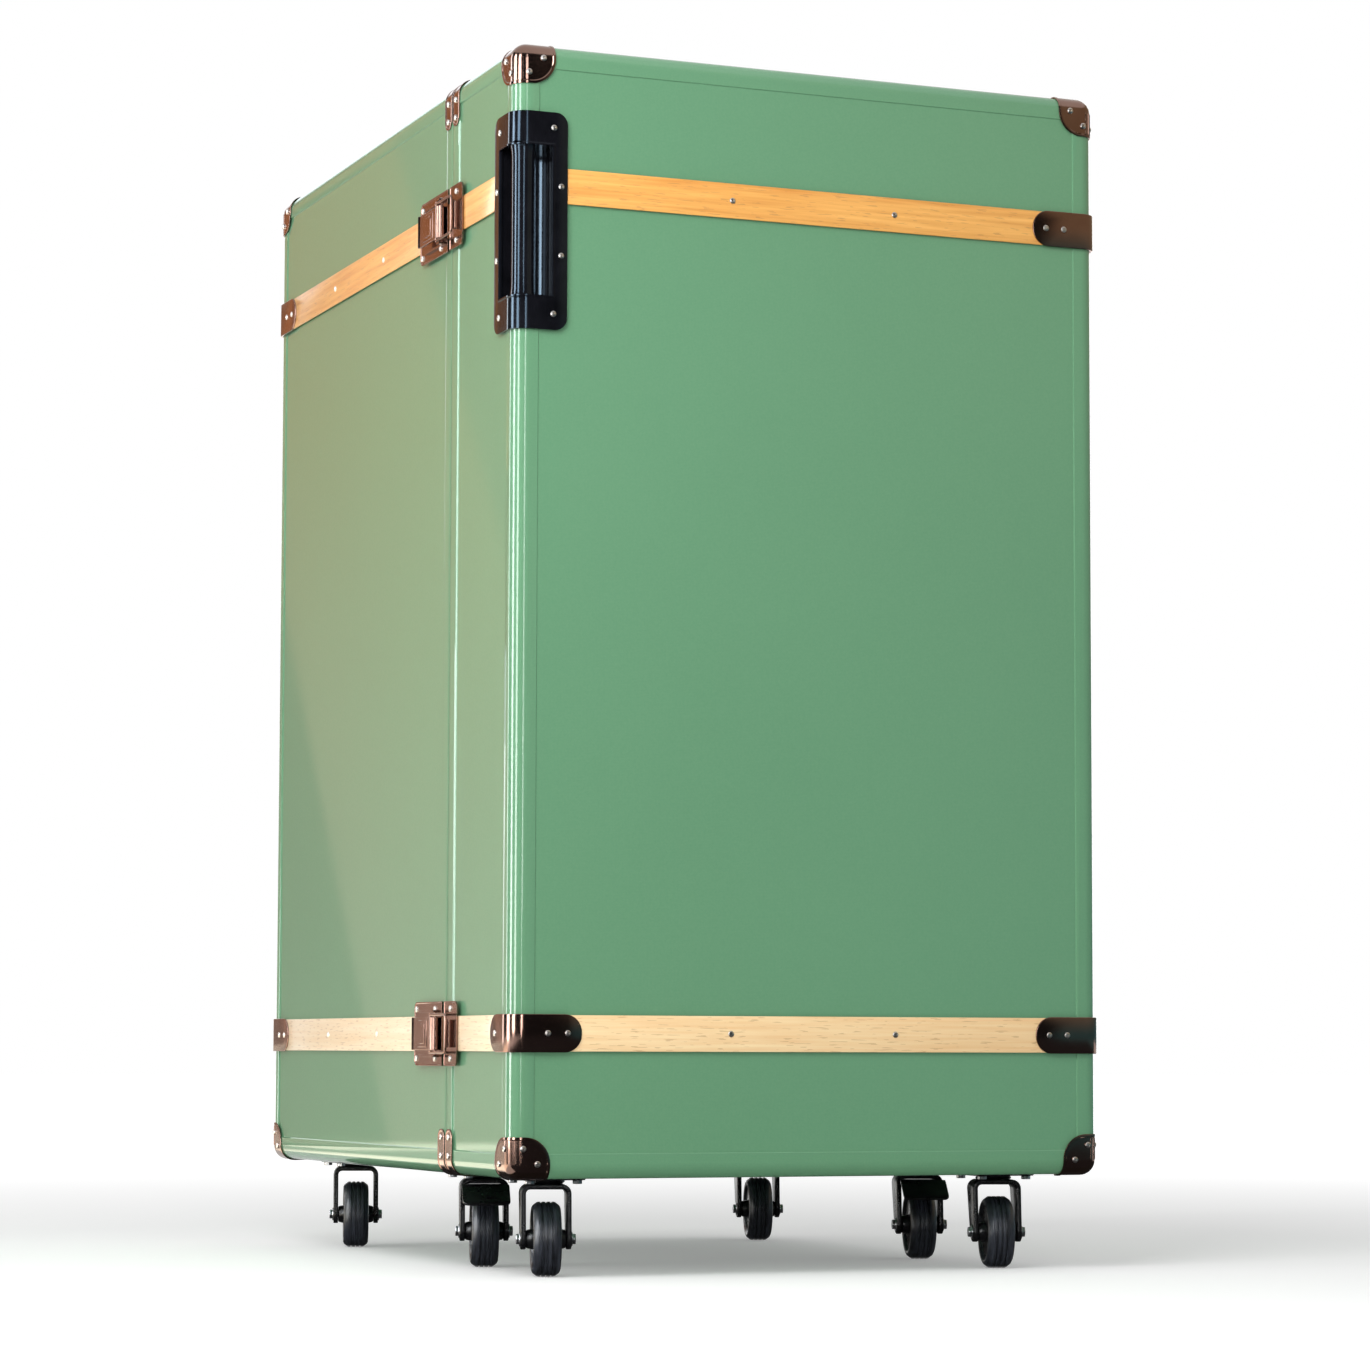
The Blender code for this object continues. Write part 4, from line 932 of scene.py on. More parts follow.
# %% Fold the caps
CAP_OUT = 0.0038
CAP_HALF = 0.020
CAP_ROUND = 0.019
CAP_WALL = 0.0035
CAP_EASE = 0.0007
CAP_LEG = 0.078
CAP_SIDE_LEG = {"door": 0.055, "main": 0.078}
CAP_SCREWS = (0.040, 0.062)
for owner, (sy, face, body) in HALVES.items():
    for side, sx in SIDES.items():
        for row, z in ROWS.items():
            if (owner, side, row) == ("door", "left", "upper"):
                continue
            z_span = (z - CAP_HALF, z + CAP_HALF)
            legs = (CAP_LEG, CAP_SIDE_LEG[owner])
            shape = fold_round_edge((sx, sy), CAP_OUT, legs, z_span)
            bevel(shape, free_corners(shape, (sx, sy), legs, z_span), CAP_ROUND, 8, "VERTICES")
            place = f"{side}_{row}"
            piece = add_piece(f"cap_{owner}_{place}", shape, [bronze], body, [f"{owner}_slat_cap_{place}"])
            wall(piece, CAP_WALL)
            ease(piece, CAP_EASE, 3)
            screws = []
            for reach in CAP_SCREWS:
                screws.append((face, sx * (HALF_W - reach), z))
                if reach < legs[1]:
                    screws.append((side, sy * (HALF_D - reach), z))
            add_screws(f"cap_screws_{owner}_{place}", screws, CAP_OUT, body)

# %% [markdown]
# ## Corner guards
#
# A guard covers each of the eight corners. It starts from a cube that loses the three faces towards the
# trunk. The outer edges are rounded like the trunk's own, and the far corner of each face is rounded much
# more, which gives the guard its D shape. Two insets leave a raised rim and sink the middle, and small ribs
# stiffen the upright edge.


# %% Press a corner guard
GUARD_OUT = 0.0018
GUARD_LEG = 0.044
GUARD_ROUND = 0.0275
GUARD_RIM = 0.0026
GUARD_STEP = (0.0009, -0.0007)
RIB_STEP = (0.0005, 0.0007)
RIB_AREA = 0.00002


def press(shape, faces, rim, step, even=False):
    """Leaves a rim round some faces and sinks what lies inside it by a step, given as its width and rise."""
    bmesh.ops.inset_region(
        shape, faces=faces, thickness=rim, depth=0.0, use_boundary=True, use_even_offset=even,
    )
    bmesh.ops.inset_region(shape, faces=faces, thickness=step[0], depth=step[1], use_even_offset=even)


def press_guard(signs):
    """Makes the open skin of one corner guard."""
    half = (HALF_W, HALF_D, HALF_H)
    middle = Vector((0, 0, BOX_MID))
    outer = middle + Vector(s * (h + GUARD_OUT) for s, h in zip(signs, half))
    inner = middle + Vector(s * (h - GUARD_LEG) for s, h in zip(signs, half))
    shape = box_shape(outer, inner)
    near = min(shape.verts, key=lambda vert: (vert.co - inner).length)
    bmesh.ops.delete(shape, geom=list(near.link_faces), context="FACES")
    tip = min(shape.verts, key=lambda vert: (vert.co - outer).length)
    bevel(shape, tip.link_edges, EDGE_RADIUS + GUARD_OUT, EDGE_STEPS)
    far = [vert for vert in shape.verts if sum(abs(a - b) < NEARLY for a, b in zip(vert.co, inner)) == 2]
    bevel(shape, far, GUARD_ROUND, 12, "VERTICES")
    face_out(shape, inner)
    field = shape.faces[:]
    press(shape, field, GUARD_RIM, GUARD_STEP)
    ribs = []
    for face in field:
        n = face.normal
        upright = abs(n.z) < 0.05 and abs(n.x) > 0.1 and abs(n.y) > 0.1
        if upright and face.calc_area() > RIB_AREA:
            ribs.append((math.atan2(n.y, n.x), face))
    ribs = [face for _, face in sorted(ribs, key=lambda pair: pair[0])][1::2]
    bmesh.ops.inset_individual(shape, faces=ribs, thickness=RIB_STEP[0], depth=RIB_STEP[1])
    return shape


print("guard legs:", GUARD_LEG)

# %% [markdown]
# Guards and straps are pressed from the same thin sheet. A guard has two screws on each upright face, given
# by how far they are from its two outer edges.

# %% Put the guards on the corners
SHEET = 0.0015
SHEET_EASE = 0.0004
GUARD_SCREWS = ((0.014, 0.032), (0.030, 0.016))
for owner, (sy, face, body) in HALVES.items():
    for side, sx in SIDES.items():
        for end, sz in ENDS.items():
            place = f"{side}_{end}"
            shape = press_guard((sx, sy, sz))
            piece = add_piece(f"guard_{owner}_{place}", shape, [bronze], body, [f"{owner}_corner_{place}"])
            wall(piece, SHEET)
            ease(piece, SHEET_EASE, 2)
            screws = []
            for across, rise in GUARD_SCREWS:
                z = BOX_MID + sz * (HALF_H - rise)
                screws.append((face, sx * (HALF_W - across), z))
                screws.append((side, sy * (HALF_D - across), z))
            add_screws(f"guard_screws_{owner}_{place}", screws, GUARD_OUT, body)

# %% [markdown]
# ## Straps beside the split
#
# A strap lies over the top and bottom edges on each side of the split. It starts from a short line across
# the strap, which is extruded up a side, spun over the edge, carried across and brought down the other
# side. The ends are rounded, and an inset leaves a raised rim.


# %% Bend the straps
STRAP_OUT = 0.0018
STRAP_LEG = 0.049
STRAP_HALF = 0.011
STRAP_ROUND = 0.0105
STRAP_RIM = 0.0022
STRAP_STEP = (0.0007, -0.0006)
STRAP_IN = 0.0122
STRAP_SCREWS = (0.020, 0.040)


def bend_strap(y, sz):
    """Makes the open skin of a strap over the top or the bottom of the box."""
    shape = bmesh.new()
    x = -HALF_W - STRAP_OUT
    leg_z = BOX_MID + sz * (HALF_H - STRAP_LEG)
    line = [shape.verts.new((x, y + offset, leg_z)) for offset in (-STRAP_HALF, STRAP_HALF)]
    edges = pull(shape, [shape.edges.new(line)], (0, 0, sz * (STRAP_LEG - EDGE_RADIUS)))
    centre_z = BOX_MID + sz * (HALF_H - EDGE_RADIUS)
    quarter = sz * math.pi / 2
    edges = swing(shape, edges, (EDGE_RADIUS - HALF_W, 0, centre_z), (0, 1, 0), quarter, EDGE_STEPS)
    edges = pull(shape, edges, (2 * (HALF_W - EDGE_RADIUS), 0, 0))
    edges = swing(shape, edges, (HALF_W - EDGE_RADIUS, 0, centre_z), (0, 1, 0), quarter, EDGE_STEPS)
    pull(shape, edges, (0, 0, -sz * (STRAP_LEG - EDGE_RADIUS)))
    face_out(shape, Vector((0, y, BOX_MID)))
    tips = [vert for vert in shape.verts if abs(vert.co.z - leg_z) < NEARLY]
    bevel(shape, tips, STRAP_ROUND, 8, "VERTICES")
    press(shape, shape.faces[:], STRAP_RIM, STRAP_STEP, even=True)
    return shape


for owner, y in (("door", door_high.y - STRAP_IN), ("main", main_low.y + STRAP_IN)):
    body = HALVES[owner][2]
    for end, sz in ENDS.items():
        shape = bend_strap(y, sz)
        piece = add_piece(f"strap_{owner}_{end}", shape, [bronze], body, [f"{owner}_split_strap_{end}"])
        wall(piece, SHEET)
        ease(piece, SHEET_EASE, 2)
        heights = [BOX_MID + sz * (HALF_H - reach) for reach in STRAP_SCREWS]
        screws = [(side, y, z) for side in SIDES for z in heights]
        add_screws(f"strap_screws_{owner}_{end}", screws, STRAP_OUT, body)

# %% [markdown]
# ## Corner handle
#
# The handle is let into the near edge of the door. Its housing is a wide folded plate with a window round
# the edge. The window's faces are inset and raised first, which leaves a rolled lip, and then deleted.

# %% Mould the housing
HANDLE_OUT = 0.0038
HANDLE_LEG = 0.057
HANDLE_ROUND = 0.013
HANDLE_WALL = 0.004
HANDLE_EASE = 0.0009
CAVITY = 0.043
signs = (-1, -1)
legs = (HANDLE_LEG, HANDLE_LEG)
shape = fold_round_edge(signs, HANDLE_OUT, legs, HANDLE_Z, 14)
bevel(shape, free_corners(shape, signs, legs, HANDLE_Z), HANDLE_ROUND, 8, "VERTICES")
slice_window(shape, CAVITY, MOUTH_Z)
window = window_faces(shape, CAVITY, MOUTH_Z)
bmesh.ops.inset_region(shape, faces=window, thickness=0.0010, depth=0.0010, use_even_offset=True)
bmesh.ops.inset_region(shape, faces=window, thickness=0.0016, depth=0.0, use_even_offset=True)
bmesh.ops.delete(shape, geom=window, context="FACES")
piece = add_piece("handle_housing", shape, [handle_black], "door", ["handle"])
wall(piece, HANDLE_WALL)
ease(piece, HANDLE_EASE, 3)

# %% [markdown]
# Behind the window lies a scooped pocket, so that fingers can close round the grip. One upright line is
# pulled inwards, spun round the scoop and pulled out again, and a floor and a ceiling close it.

# %% Scoop the pocket
SCOOP = 0.025
POCKET_OUT = 0.002
POCKET_RUN = 0.020
shape = bmesh.new()
line = [shape.verts.new((CAVITY - HALF_W, -HALF_D - POCKET_OUT, z)) for z in MOUTH_Z]
edges = pull(shape, [shape.edges.new(line)], (0, POCKET_RUN, 0))
centre = (CAVITY - SCOOP - HALF_W, CAVITY - SCOOP - HALF_D, 0)
edges = swing(shape, edges, centre, (0, 0, 1), math.pi / 2, 12)
pull(shape, edges, (-POCKET_RUN, 0, 0))
for z in MOUTH_Z:
    rim = [vert for vert in shape.verts if abs(vert.co.z - z) < 0.000001]
    rim.append(shape.verts.new((-HALF_W - POCKET_OUT, -HALF_D - POCKET_OUT, z)))
    bmesh.ops.contextual_create(shape, geom=rim)
face_out(shape, Vector((0, 0, HANDLE_Z[0])))
add_piece("handle_pocket", shape, [handle_black], "door", ())

# %% [markdown]
# The grip is an upright bar across the window that widens towards its ends. It is turned as on a lathe:
# half of its outline is written down, mirrored and spun.


# %% Turn the grip
def lathe(shape, profile, matrix, steps, closed=False):
    """Spins a profile of (radius, height) pairs about Z, then puts the body in place."""
    old_verts, old_faces = set(shape.verts), set(shape.faces)
    verts = [shape.verts.new((radius, 0, height)) for radius, height in profile]
    ends = verts[1:] + verts[:1] if closed else verts[1:]
    edges = [shape.edges.new(pair) for pair in zip(verts, ends)]
    bmesh.ops.spin(
        shape, geom=verts + edges, cent=(0, 0, 0), axis=(0, 0, 1), dvec=(0, 0, 0), angle=2 * math.pi,
        steps=steps, use_merge=True, use_normal_flip=False, use_duplicate=False,
    )
    fresh = [vert for vert in shape.verts if vert not in old_verts]
    bmesh.ops.remove_doubles(shape, verts=fresh, dist=NEARLY)
    fresh = [vert for vert in shape.verts if vert not in old_verts]
    bmesh.ops.transform(shape, matrix=matrix, verts=fresh)
    bmesh.ops.recalc_face_normals(shape, faces=[face for face in shape.faces if face not in old_faces])


def mirrored(upper):
    """Returns the lower half of an outline whose upper half is given."""
    return [(radius, -height) for radius, height in reversed(upper)]


GRIP_IN = 0.0125
half = (MOUTH_Z[1] - MOUTH_Z[0]) / 2
upper = [(0.0122, 0.0), (0.0123, half - 0.016), (0.0127, half - 0.009), (0.0136, half - 0.003)]
upper += [(0.0150, half + 0.001), (0.0, half + 0.001)]
grip = Vector((GRIP_IN - HALF_W, GRIP_IN - HALF_D, (MOUTH_Z[0] + MOUTH_Z[1]) / 2))
shape = bmesh.new()
lathe(shape, mirrored(upper) + upper[1:], Matrix.Translation(grip), 40)
add_piece("handle_grip", shape, [handle_black], "door", ())

# The height from the middle and the distance from the plate's end
HANDLE_SCREWS = ((0.09975, 0.0155), (0.037, 0.007))
screws = []
for rise, inset in HANDLE_SCREWS:
    for z in (grip.z - rise, grip.z + rise):
        screws.append(("front", HANDLE_LEG - inset - HALF_W, z))
        screws.append(("left", HANDLE_LEG - inset - HALF_D, z))
add_screws("handle_screws", screws, HANDLE_OUT, "door")

# %% [markdown]
# ## Draw latches
#
# A draw latch has four parts. The base plate with its two ears sits on the case, the lever turns in the
# ears, a wire loop hangs on the lever, and the keeper on the door has a rolled catch for the loop. The
# plates start from boxes whose far corners are rounded, and a pressed border makes them look stamped.


# %% Helpers for the latches
PLATE_OUT = (0.0026, 0.0046)
PLATE_HALF = 0.035
PLATE_ROUND = 0.008
PLATE_RIM = 0.0014
PLATE_STEP = (0.0006, -0.0005)


def side_block(shape, y, z, out):
    """Adds a block on the left face of the box."""
    box_shape((-HALF_W - out[0], y[0], z[0]), (-HALF_W - out[1], y[1], z[1]), shape)


def upright_rod(shape, y, z, out, radius, sides=20):
    """Adds an upright rod in front of the left face of the box."""
    place = Matrix.Translation((-HALF_W - out, y, (z[0] + z[1]) / 2))
    rod(shape, radius, abs(z[1] - z[0]), sides, place)


def latch_plate(y, z, far):
    """Makes a plate with two rounded corners at one end and a raised border."""
    shape = bmesh.new()
    side_block(shape, y, (z - PLATE_HALF, z + PLATE_HALF), PLATE_OUT)
    corners = []
    for edge in shape.edges:
        a, b = (vert.co for vert in edge.verts)
        if abs(a.y - far) < NEARLY and abs(b.y - far) < NEARLY and abs(a.z - b.z) < NEARLY:
            corners.append(edge)
    bevel(shape, corners, PLATE_ROUND, 6)
    top = min(shape.faces, key=lambda face: face.calc_center_median().x)
    press(shape, [top], PLATE_RIM, PLATE_STEP)
    return shape


print("latch plates:", 2 * PLATE_HALF, "m tall")

# %% [markdown]
# The ears stand up beside the lever's pin and run on as a low fence along the plate. The catch is a short
# rod on a foot.

# %% Press the latch plates and keepers
BASE_RUN = (main_low.y + 0.003, main_low.y + 0.099)
KEEPER_RUN = (door_high.y - 0.046, door_high.y - 0.003)
LEVER_Y = main_low.y + 0.012
EAR = (0.0230, 0.0255)
EAR_HALF = 0.0045
EAR_OUT = 0.0133
FENCE_OUT = 0.0068
FENCE_STOP = 0.022
CATCH_Y = door_high.y - 0.027
CATCH_OUT = 0.0070
CATCH_RADIUS = 0.0040
PLATE_EASE = 0.0009
PLATE_SCREW = 0.027
for row, z in ROWS.items():
    start, end = BASE_RUN
    shape = latch_plate(BASE_RUN, z, end)
    for sign in (-1, 1):
        ear = (z + sign * EAR[0], z + sign * EAR[1])
        side_block(shape, (LEVER_Y - EAR_HALF, LEVER_Y + EAR_HALF), ear, (PLATE_OUT[0], EAR_OUT))
        side_block(shape, (LEVER_Y + EAR_HALF, end - FENCE_STOP), ear, (PLATE_OUT[0], FENCE_OUT))
    piece = add_piece(f"latch_base_{row}", shape, [bronze], "main_case", [f"latch_plate_{row}"])
    ease(piece, PLATE_EASE, 3)
    heights = (z - PLATE_SCREW, z + PLATE_SCREW)
    screws = [("left", along, height) for height in heights for along in (start + 0.024, end - 0.008)]
    add_screws(f"latch_base_screws_{row}", screws, PLATE_OUT[1], "main_case")

    start, end = KEEPER_RUN
    shape = latch_plate(KEEPER_RUN, z, start)
    side_block(shape, (CATCH_Y - 0.0028, CATCH_Y + 0.0028), (z - 0.013, z + 0.013), (PLATE_OUT[0], CATCH_OUT))
    upright_rod(shape, CATCH_Y, (z - 0.015, z + 0.015), CATCH_OUT, CATCH_RADIUS, 32)
    piece = add_piece(f"latch_catch_{row}", shape, [bronze], "door", [f"latch_keeper_{row}"])
    ease(piece, PLATE_EASE, 3)
    screws = [("left", (start + end) / 2, height) for height in heights]
    add_screws(f"latch_catch_screws_{row}", screws, PLATE_OUT[1], "door")

# %% [markdown]
# The lever is a slab whose end is extruded into a raised thumb tip. A rolled root and a pin hold it in the
# ears, and two plain panels lie on it, one on the other.


# %% Forge a lever
LEVER_OUT = 0.0091
LEVER_HALF = 0.018
LEVER_BEND = LEVER_Y + 0.064
LEVER_TIP = LEVER_Y + 0.068
TIP_RISE = 0.0015
PIN_HALF = 0.0252
PIN_RADIUS = 0.0015


def forge_lever(z):
    """Makes a lever at a height."""
    shape = bmesh.new()
    width = (z - LEVER_HALF, z + LEVER_HALF)
    side_block(shape, (LEVER_Y + 0.010, LEVER_BEND), width, (0.0097, 0.0127))
    tail = max(shape.faces, key=lambda face: face.calc_center_median().y)
    tail = bmesh.ops.extrude_face_region(shape, geom=[tail])["geom"]
    moved = [item for item in tail if isinstance(item, bmesh.types.BMVert)]
    bmesh.ops.translate(shape, verts=moved, vec=(-TIP_RISE, LEVER_TIP - LEVER_BEND, 0))
    side_block(shape, (LEVER_Y, LEVER_Y + 0.012), width, (0.0060, 0.0120))
    upright_rod(shape, LEVER_Y + 0.0045, width, LEVER_OUT, 0.0051, 32)
    side_block(shape, (LEVER_Y + 0.018, LEVER_Y + 0.054), (z - 0.0148, z + 0.0148), (0.0120, 0.0134))
    side_block(shape, (LEVER_Y + 0.024, LEVER_Y + 0.042), (z - 0.0110, z + 0.0110), (0.0130, 0.0141))
    upright_rod(shape, LEVER_Y, width, LEVER_OUT, 0.0035)
    upright_rod(shape, LEVER_Y, (z - PIN_HALF, z + PIN_HALF), LEVER_OUT, PIN_RADIUS, 12)
    return shape


print("lever pins", 2 * PIN_HALF, "m long")

# %% [markdown]
# The loop is a circle that is pulled along an arm, spun round the corner, pulled along the bar and brought
# back. Two short pins hang it on the lever.


# %% Bend a loop, and add levers and loops
LOOP_Y = LEVER_Y + 0.006
LOOP_OUT = 0.0127
LOOP_HALF = 0.0205
LOOP_CORNER = 0.005
LOOP_BAR = LOOP_Y - 0.052
LOOP_PIN = (0.0184, 0.0222)
WIRE_RADIUS = 0.0015


def bend_loop(z):
    """Makes a wire loop at a height."""
    shape = bmesh.new()
    x = -HALF_W - LOOP_OUT
    turn = LOOP_BAR + LOOP_CORNER
    start = Matrix.Translation((x, LOOP_Y, z + LOOP_HALF)) @ Matrix.Rotation(math.pi / 2, 4, "X")
    bmesh.ops.create_circle(shape, cap_ends=False, radius=WIRE_RADIUS, segments=12, matrix=start)
    edges = pull(shape, shape.edges[:], (0, turn - LOOP_Y, 0))
    edges = swing(shape, edges, (x, turn, z + LOOP_HALF - LOOP_CORNER), (1, 0, 0), math.pi / 2, 6)
    edges = pull(shape, edges, (0, 0, 2 * (LOOP_CORNER - LOOP_HALF)))
    edges = swing(shape, edges, (x, turn, z - LOOP_HALF + LOOP_CORNER), (1, 0, 0), math.pi / 2, 6)
    pull(shape, edges, (0, LOOP_Y - turn, 0))
    bmesh.ops.holes_fill(shape, edges=[edge for edge in shape.edges if edge.is_boundary])
    bmesh.ops.recalc_face_normals(shape, faces=shape.faces[:])
    for sign in (-1, 1):
        upright_rod(shape, LOOP_Y, [z + sign * height for height in LOOP_PIN], LOOP_OUT, WIRE_RADIUS, 16)
    return shape


for row, z in ROWS.items():
    lever, loop = f"latch_lever_{row}", f"latch_loop_{row}"
    piece = add_piece(f"latch_thumb_{row}", forge_lever(z), [bronze], lever, [lever])
    ease(piece, 0.0007, 2)
    add_piece(f"latch_wire_{row}", bend_loop(z), [bronze], loop, [loop])

# %% [markdown]
# ## Casters
#
# Six swivel casters carry the trunk. All their parts are modelled once, with the swivel axis on Z, and
# stamped in six places. The wheel is a spun outline, with a rubber tyre that has three grooves in its
# tread.

# %% Model a wheel
TRAIL = 0.018
AXLE_Z = 0.0395
TYRE_INNER = 0.029
HUB = Matrix.Translation((0, -TRAIL, AXLE_Z)) @ Matrix.Rotation(math.pi / 2, 4, "Y")
upper = [(0.0043, 0.0212), (0.0086, 0.0212), (0.0098, 0.0200), (0.0112, 0.0130), (0.0140, 0.0116)]
upper += [(0.0290, 0.0114), (0.0303, 0.0136), (0.0320, 0.0148), (0.0340, 0.0150), (0.0360, 0.0139)]
upper += [(0.0387, 0.0102), (0.0394, 0.0090), (0.0395, 0.0064), (0.0384, 0.0060), (0.0384, 0.0047)]
upper += [(0.0395, 0.0043), (0.0395, 0.0010), (0.0384, 0.0006)]
shape = bmesh.new()
lathe(shape, upper + mirrored(upper), HUB, 56, closed=True)
for face in shape.faces:
    offset = face.calc_center_median() - HUB.translation
    face.material_index = 1 if math.hypot(offset.y, offset.z) < TYRE_INNER else 0
WHEEL = keep_template("wheel", shape)

# %% [markdown]
# The fork is one folded strap. A line along its crown is pulled across, spun over both shoulders and pulled
# down to the axle, where each leg is narrowed and its end rounded.

# %% Fold a fork
FORK_TOP = 0.0974
FORK_OUTER = 0.027
FORK_Y = (-0.024, 0.016)
SHOULDER = 0.010
EYE_DROP = 0.011
EYE_HALF = 0.012
EYE_ROUND = 0.0115
shape = bmesh.new()
line = [shape.verts.new((SHOULDER - FORK_OUTER, y, FORK_TOP)) for y in FORK_Y]
crown = shape.edges.new(line)
across = pull(shape, [crown], (2 * (FORK_OUTER - SHOULDER), 0, 0))
for sign, edges in ((-1, [crown]), (1, across)):
    centre = (sign * (FORK_OUTER - SHOULDER), 0, FORK_TOP - SHOULDER)
    edges = swing(shape, edges, centre, (0, 1, 0), sign * math.pi / 2, 6)
    edges = pull(shape, edges, (0, 0, AXLE_Z - EYE_DROP - FORK_TOP + SHOULDER))
    ends = sorted((vert for edge in edges for vert in edge.verts), key=lambda vert: vert.co.y)
    for vert, y in zip(ends, (-TRAIL - EYE_HALF, -TRAIL + EYE_HALF)):
        bmesh.ops.translate(shape, verts=[vert], vec=(0, y - vert.co.y, 0))
    bevel(shape, ends, EYE_ROUND, 6, "VERTICES")
face_out(shape, Vector((0, 0, AXLE_Z)))
FORK = keep_template("fork", shape)

# %% [markdown]
# The axle is a bolt through both legs, with a washer and a nut on each side.

# %% Turn an axle
AXLE_RADIUS = 0.0036
AXLE_LENGTH = 0.0636
# Place along the axle, radius, length and number of sides
WASHER = (0.0277, 0.0078, 0.0014, 20)
NUT = (0.0300, 0.0062, 0.0036, 6)
shape = bmesh.new()
for sign in (-1, 1):
    for place, radius, length, sides in (WASHER, NUT):
        rod(shape, radius, length, sides, Matrix.Translation((sign * place, 0, 0)) @ HUB)
rod(shape, AXLE_RADIUS, AXLE_LENGTH, 16, HUB)
AXLE = keep_template("axle", shape)

# %% [markdown]
# Two casters have a brake. Its pedal is a strip that widens behind the fork and slopes down to a rounded
# end with a raised panel for the foot.

# %% Bend a pedal
PEDAL_HALF = 0.0210
PEDAL_Y = -0.0125
PEDAL_Z = 0.0899
PEDAL_FLARE = 1.25
shape = bmesh.new()
line = [shape.verts.new((x, PEDAL_Y, PEDAL_Z)) for x in (-PEDAL_HALF, PEDAL_HALF)]
edges = pull(shape, [shape.edges.new(line)], (0, -0.0145, 0))
edges = pull(shape, edges, (0, -0.0180, 0))
flare = [vert for edge in edges for vert in edge.verts]
bmesh.ops.scale(shape, verts=flare, vec=(PEDAL_FLARE, 1.0, 1.0))
edges = pull(shape, edges, (0, -0.029, -0.0205))
tips = [vert for edge in edges for vert in edge.verts]
bevel(shape, tips, 0.006, 5, "VERTICES")
bmesh.ops.recalc_face_normals(shape, faces=shape.faces[:])
foot_face = min(shape.faces, key=lambda face: face.calc_center_median().y)
bmesh.ops.inset_region(shape, faces=[foot_face], thickness=0.004, depth=0.0)
bmesh.ops.inset_region(shape, faces=[foot_face], thickness=0.0010, depth=0.0012)
PEDAL = keep_template("pedal", shape)

# %% [markdown]
# Each plate is bolted under the case with four bright bolts and carries the bearing race of its fork. The
# plates don't turn with the forks, so they stay square to the trunk.


# %% Bolt a plate
SWIVEL_HALF = 0.035
SWIVEL_Z = (0.1017, 0.1047)
STEEL_EASE = 0.0006
BOLT_OFF = 0.027
BOLT_Z = 0.0997
BOLT_RADIUS = 0.0053
BOLT_LENGTH = 0.0040
RACE = [(0.0, 0.0977), (0.0190, 0.0977), (0.0200, 0.0985), (0.0200, 0.0998), (0.0186, 0.1003)]
RACE += [(0.0200, 0.1018), (0.0, 0.1018)]


def bolt_plate(place, x, y, body):
    """Adds a swivel plate with its race, and its bolts."""
    low = (x - SWIVEL_HALF, y - SWIVEL_HALF, SWIVEL_Z[0])
    shape = box_shape(low, (x + SWIVEL_HALF, y + SWIVEL_HALF, SWIVEL_Z[1]))
    upright = [edge for edge in shape.edges if abs(edge.verts[0].co.z - edge.verts[1].co.z) > NEARLY]
    bevel(shape, upright, 0.006, 4)
    lathe(shape, RACE, Matrix.Translation((x, y, 0)), 28)
    node = f"caster_plate_{place}"
    piece = add_piece(f"swivel_plate_{place}", shape, [black_steel], body, [node])
    ease(piece, STEEL_EASE)
    bolts = bmesh.new()
    for bolt_x in (x - BOLT_OFF, x + BOLT_OFF):
        for bolt_y in (y - BOLT_OFF, y + BOLT_OFF):
            rod(bolts, BOLT_RADIUS, BOLT_LENGTH, 6, Matrix.Translation((bolt_x, bolt_y, BOLT_Z)))
    piece = add_piece(f"swivel_bolts_{place}", bolts, [zinc], body, ())
    ease(piece, STEEL_EASE)


print("plates:", 2 * SWIVEL_HALF, "m square")

# %% [markdown]
# All the forks trail the same way, as they do after the trunk has been rolled back. A fork, its axle, its
# wheel and its pedal are stamped round the swivel axis, which is the middle of the plate.


# %% Put the casters in place
FORK_WALL = 0.0055
FORK_EASE = 0.0008
PEDAL_WALL = 0.003


def add_stamped(name, template, matrix, finishes, body, stands_for):
    """Makes a piece of one stamped copy."""
    shape = bmesh.new()
    stamp(shape, template, matrix)
    return add_piece(name, shape, finishes, body, stands_for)


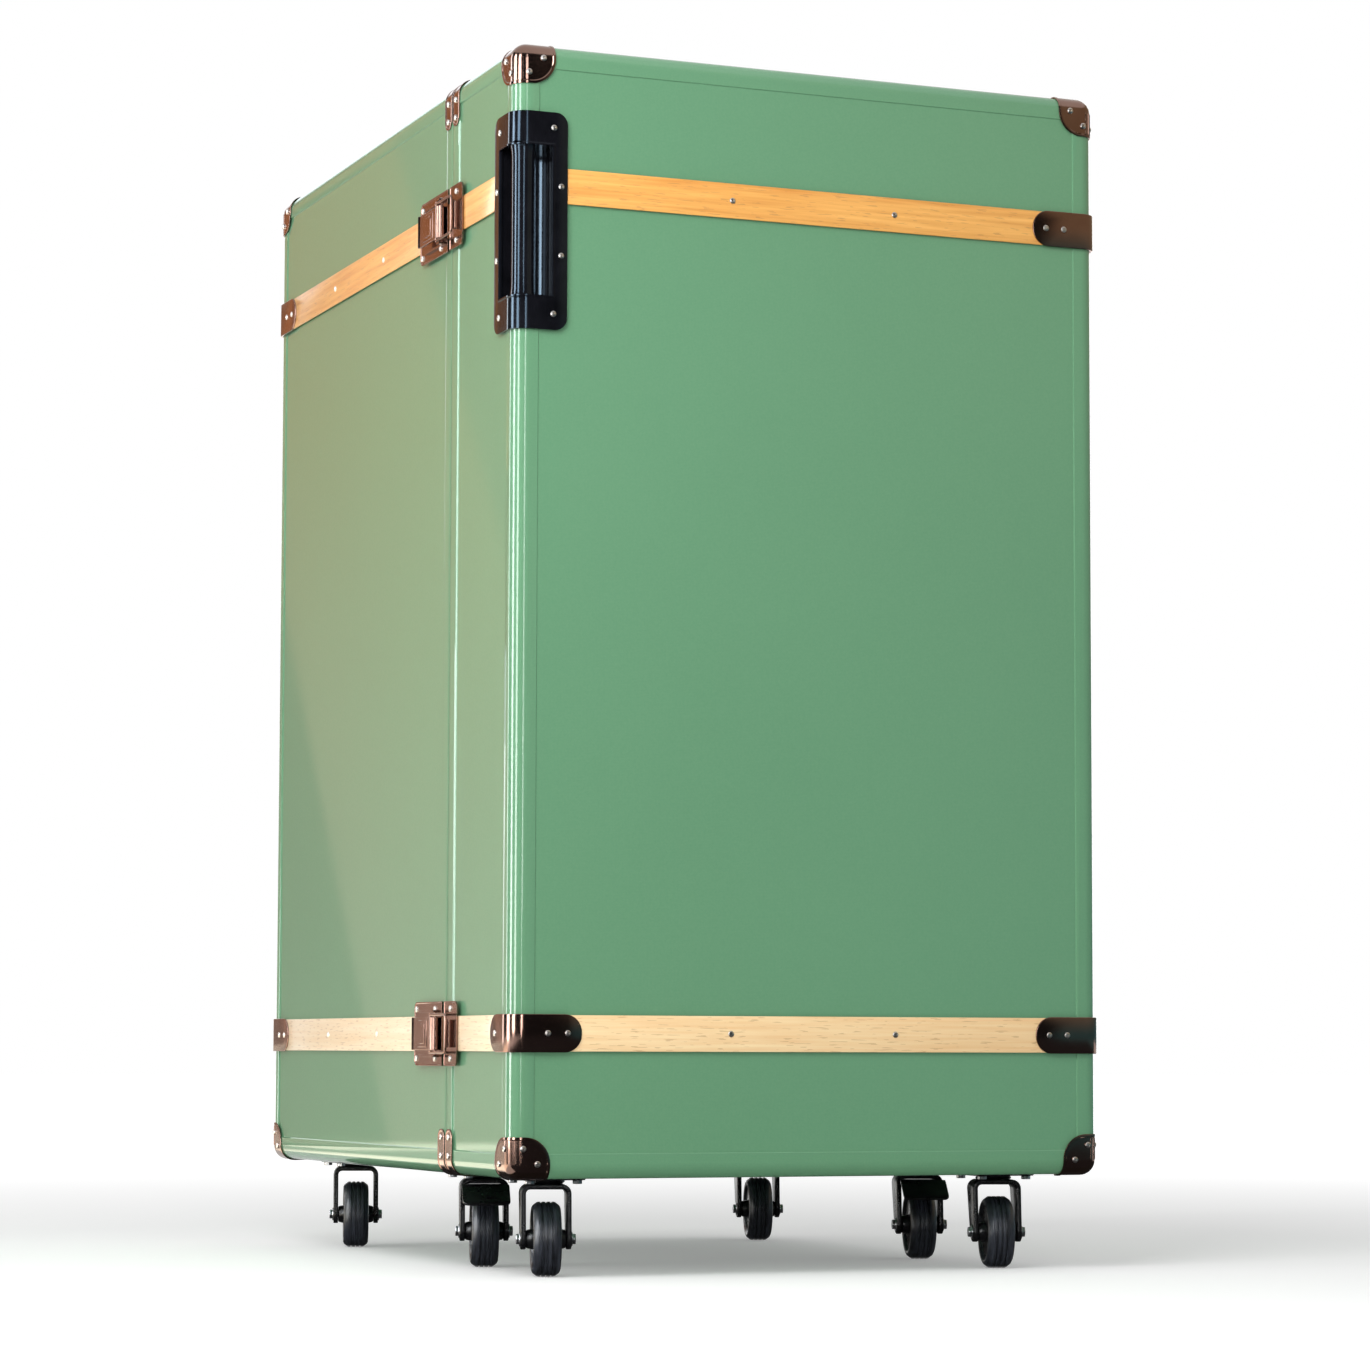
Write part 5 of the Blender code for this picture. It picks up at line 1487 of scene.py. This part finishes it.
for name in [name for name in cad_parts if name.startswith("caster_plate_")]:
    place = name[len("caster_plate_"):]
    low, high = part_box(name)
    x = (low.x + high.x) / 2
    y = (low.y + high.y) / 2
    bolt_plate(place, x, y, "door" if place.startswith("door") else "main_case")
    pivot = Matrix.Translation((x, y, 0)) @ Matrix.Rotation(HEADING, 4, "Z")
    fork, wheel, pedal = (f"{part}_{place}" for part in ("caster_fork", "caster_wheel", "brake_pedal"))
    piece = add_stamped(f"fork_{place}", FORK, pivot, [black_steel], fork, [fork])
    wall(piece, FORK_WALL)
    ease(piece, FORK_EASE)
    piece = add_stamped(f"axle_{place}", AXLE, pivot, [zinc], fork, ())
    ease(piece, STEEL_EASE)
    add_stamped(f"wheel_{place}", WHEEL, pivot, [rubber, black_steel], wheel, [wheel])
    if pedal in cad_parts:
        piece = add_stamped(f"pedal_{place}", PEDAL, pivot, [black_steel], pedal, [pedal])
        wall(piece, PEDAL_WALL, offset=0.0, even=False)
        ease(piece, STEEL_EASE)

# %% [markdown]
# ## Pieces that keep their solids
#
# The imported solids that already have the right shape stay, and only get a better finish: the racks inside,
# the metal rim of the case and the two leaves of the hinge.

# %% Dress the remaining solids
KEPT = {
    "bottle_rack": walnut_along_y,
    "door_rack": walnut_along_x,
    "main_rim": bronze,
    "hinge_leaf_main": bronze,
    "hinge_leaf_door": bronze,
}
for name, finish in KEPT.items():
    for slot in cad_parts[name].material_slots:
        slot.material = finish
    print("kept solid:", name, "in", finish.name)
bare = [name for name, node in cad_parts.items() if not node.hide_render and name not in KEPT]
print("solids without a finish:", bare)

# %% [markdown]
# The hinge is on the right, one long pair of leaves with seven knuckles that belong to the case and the
# door in turn. A screw goes into the leaf beside each knuckle.

# %% Screw on the hinge
SPLIT_Y = (door_high.y + main_low.y) / 2
HINGE_LENGTH = 0.780
HINGE_KNUCKLES = 7
HINGE_SCREW_Y = 0.0215
HINGE_SCREW_OUT = 0.0036
for owner, (sy, _, body) in HALVES.items():
    screws = []
    for index in range(0 if owner == "main" else 1, HINGE_KNUCKLES, 2):
        z = BOX_MID + HINGE_LENGTH * ((index + 0.5) / HINGE_KNUCKLES - 0.5)
        screws.append(("right", SPLIT_Y + sy * HINGE_SCREW_Y, z))
    add_screws(f"hinge_screws_{owner}", screws, HINGE_SCREW_OUT, body)
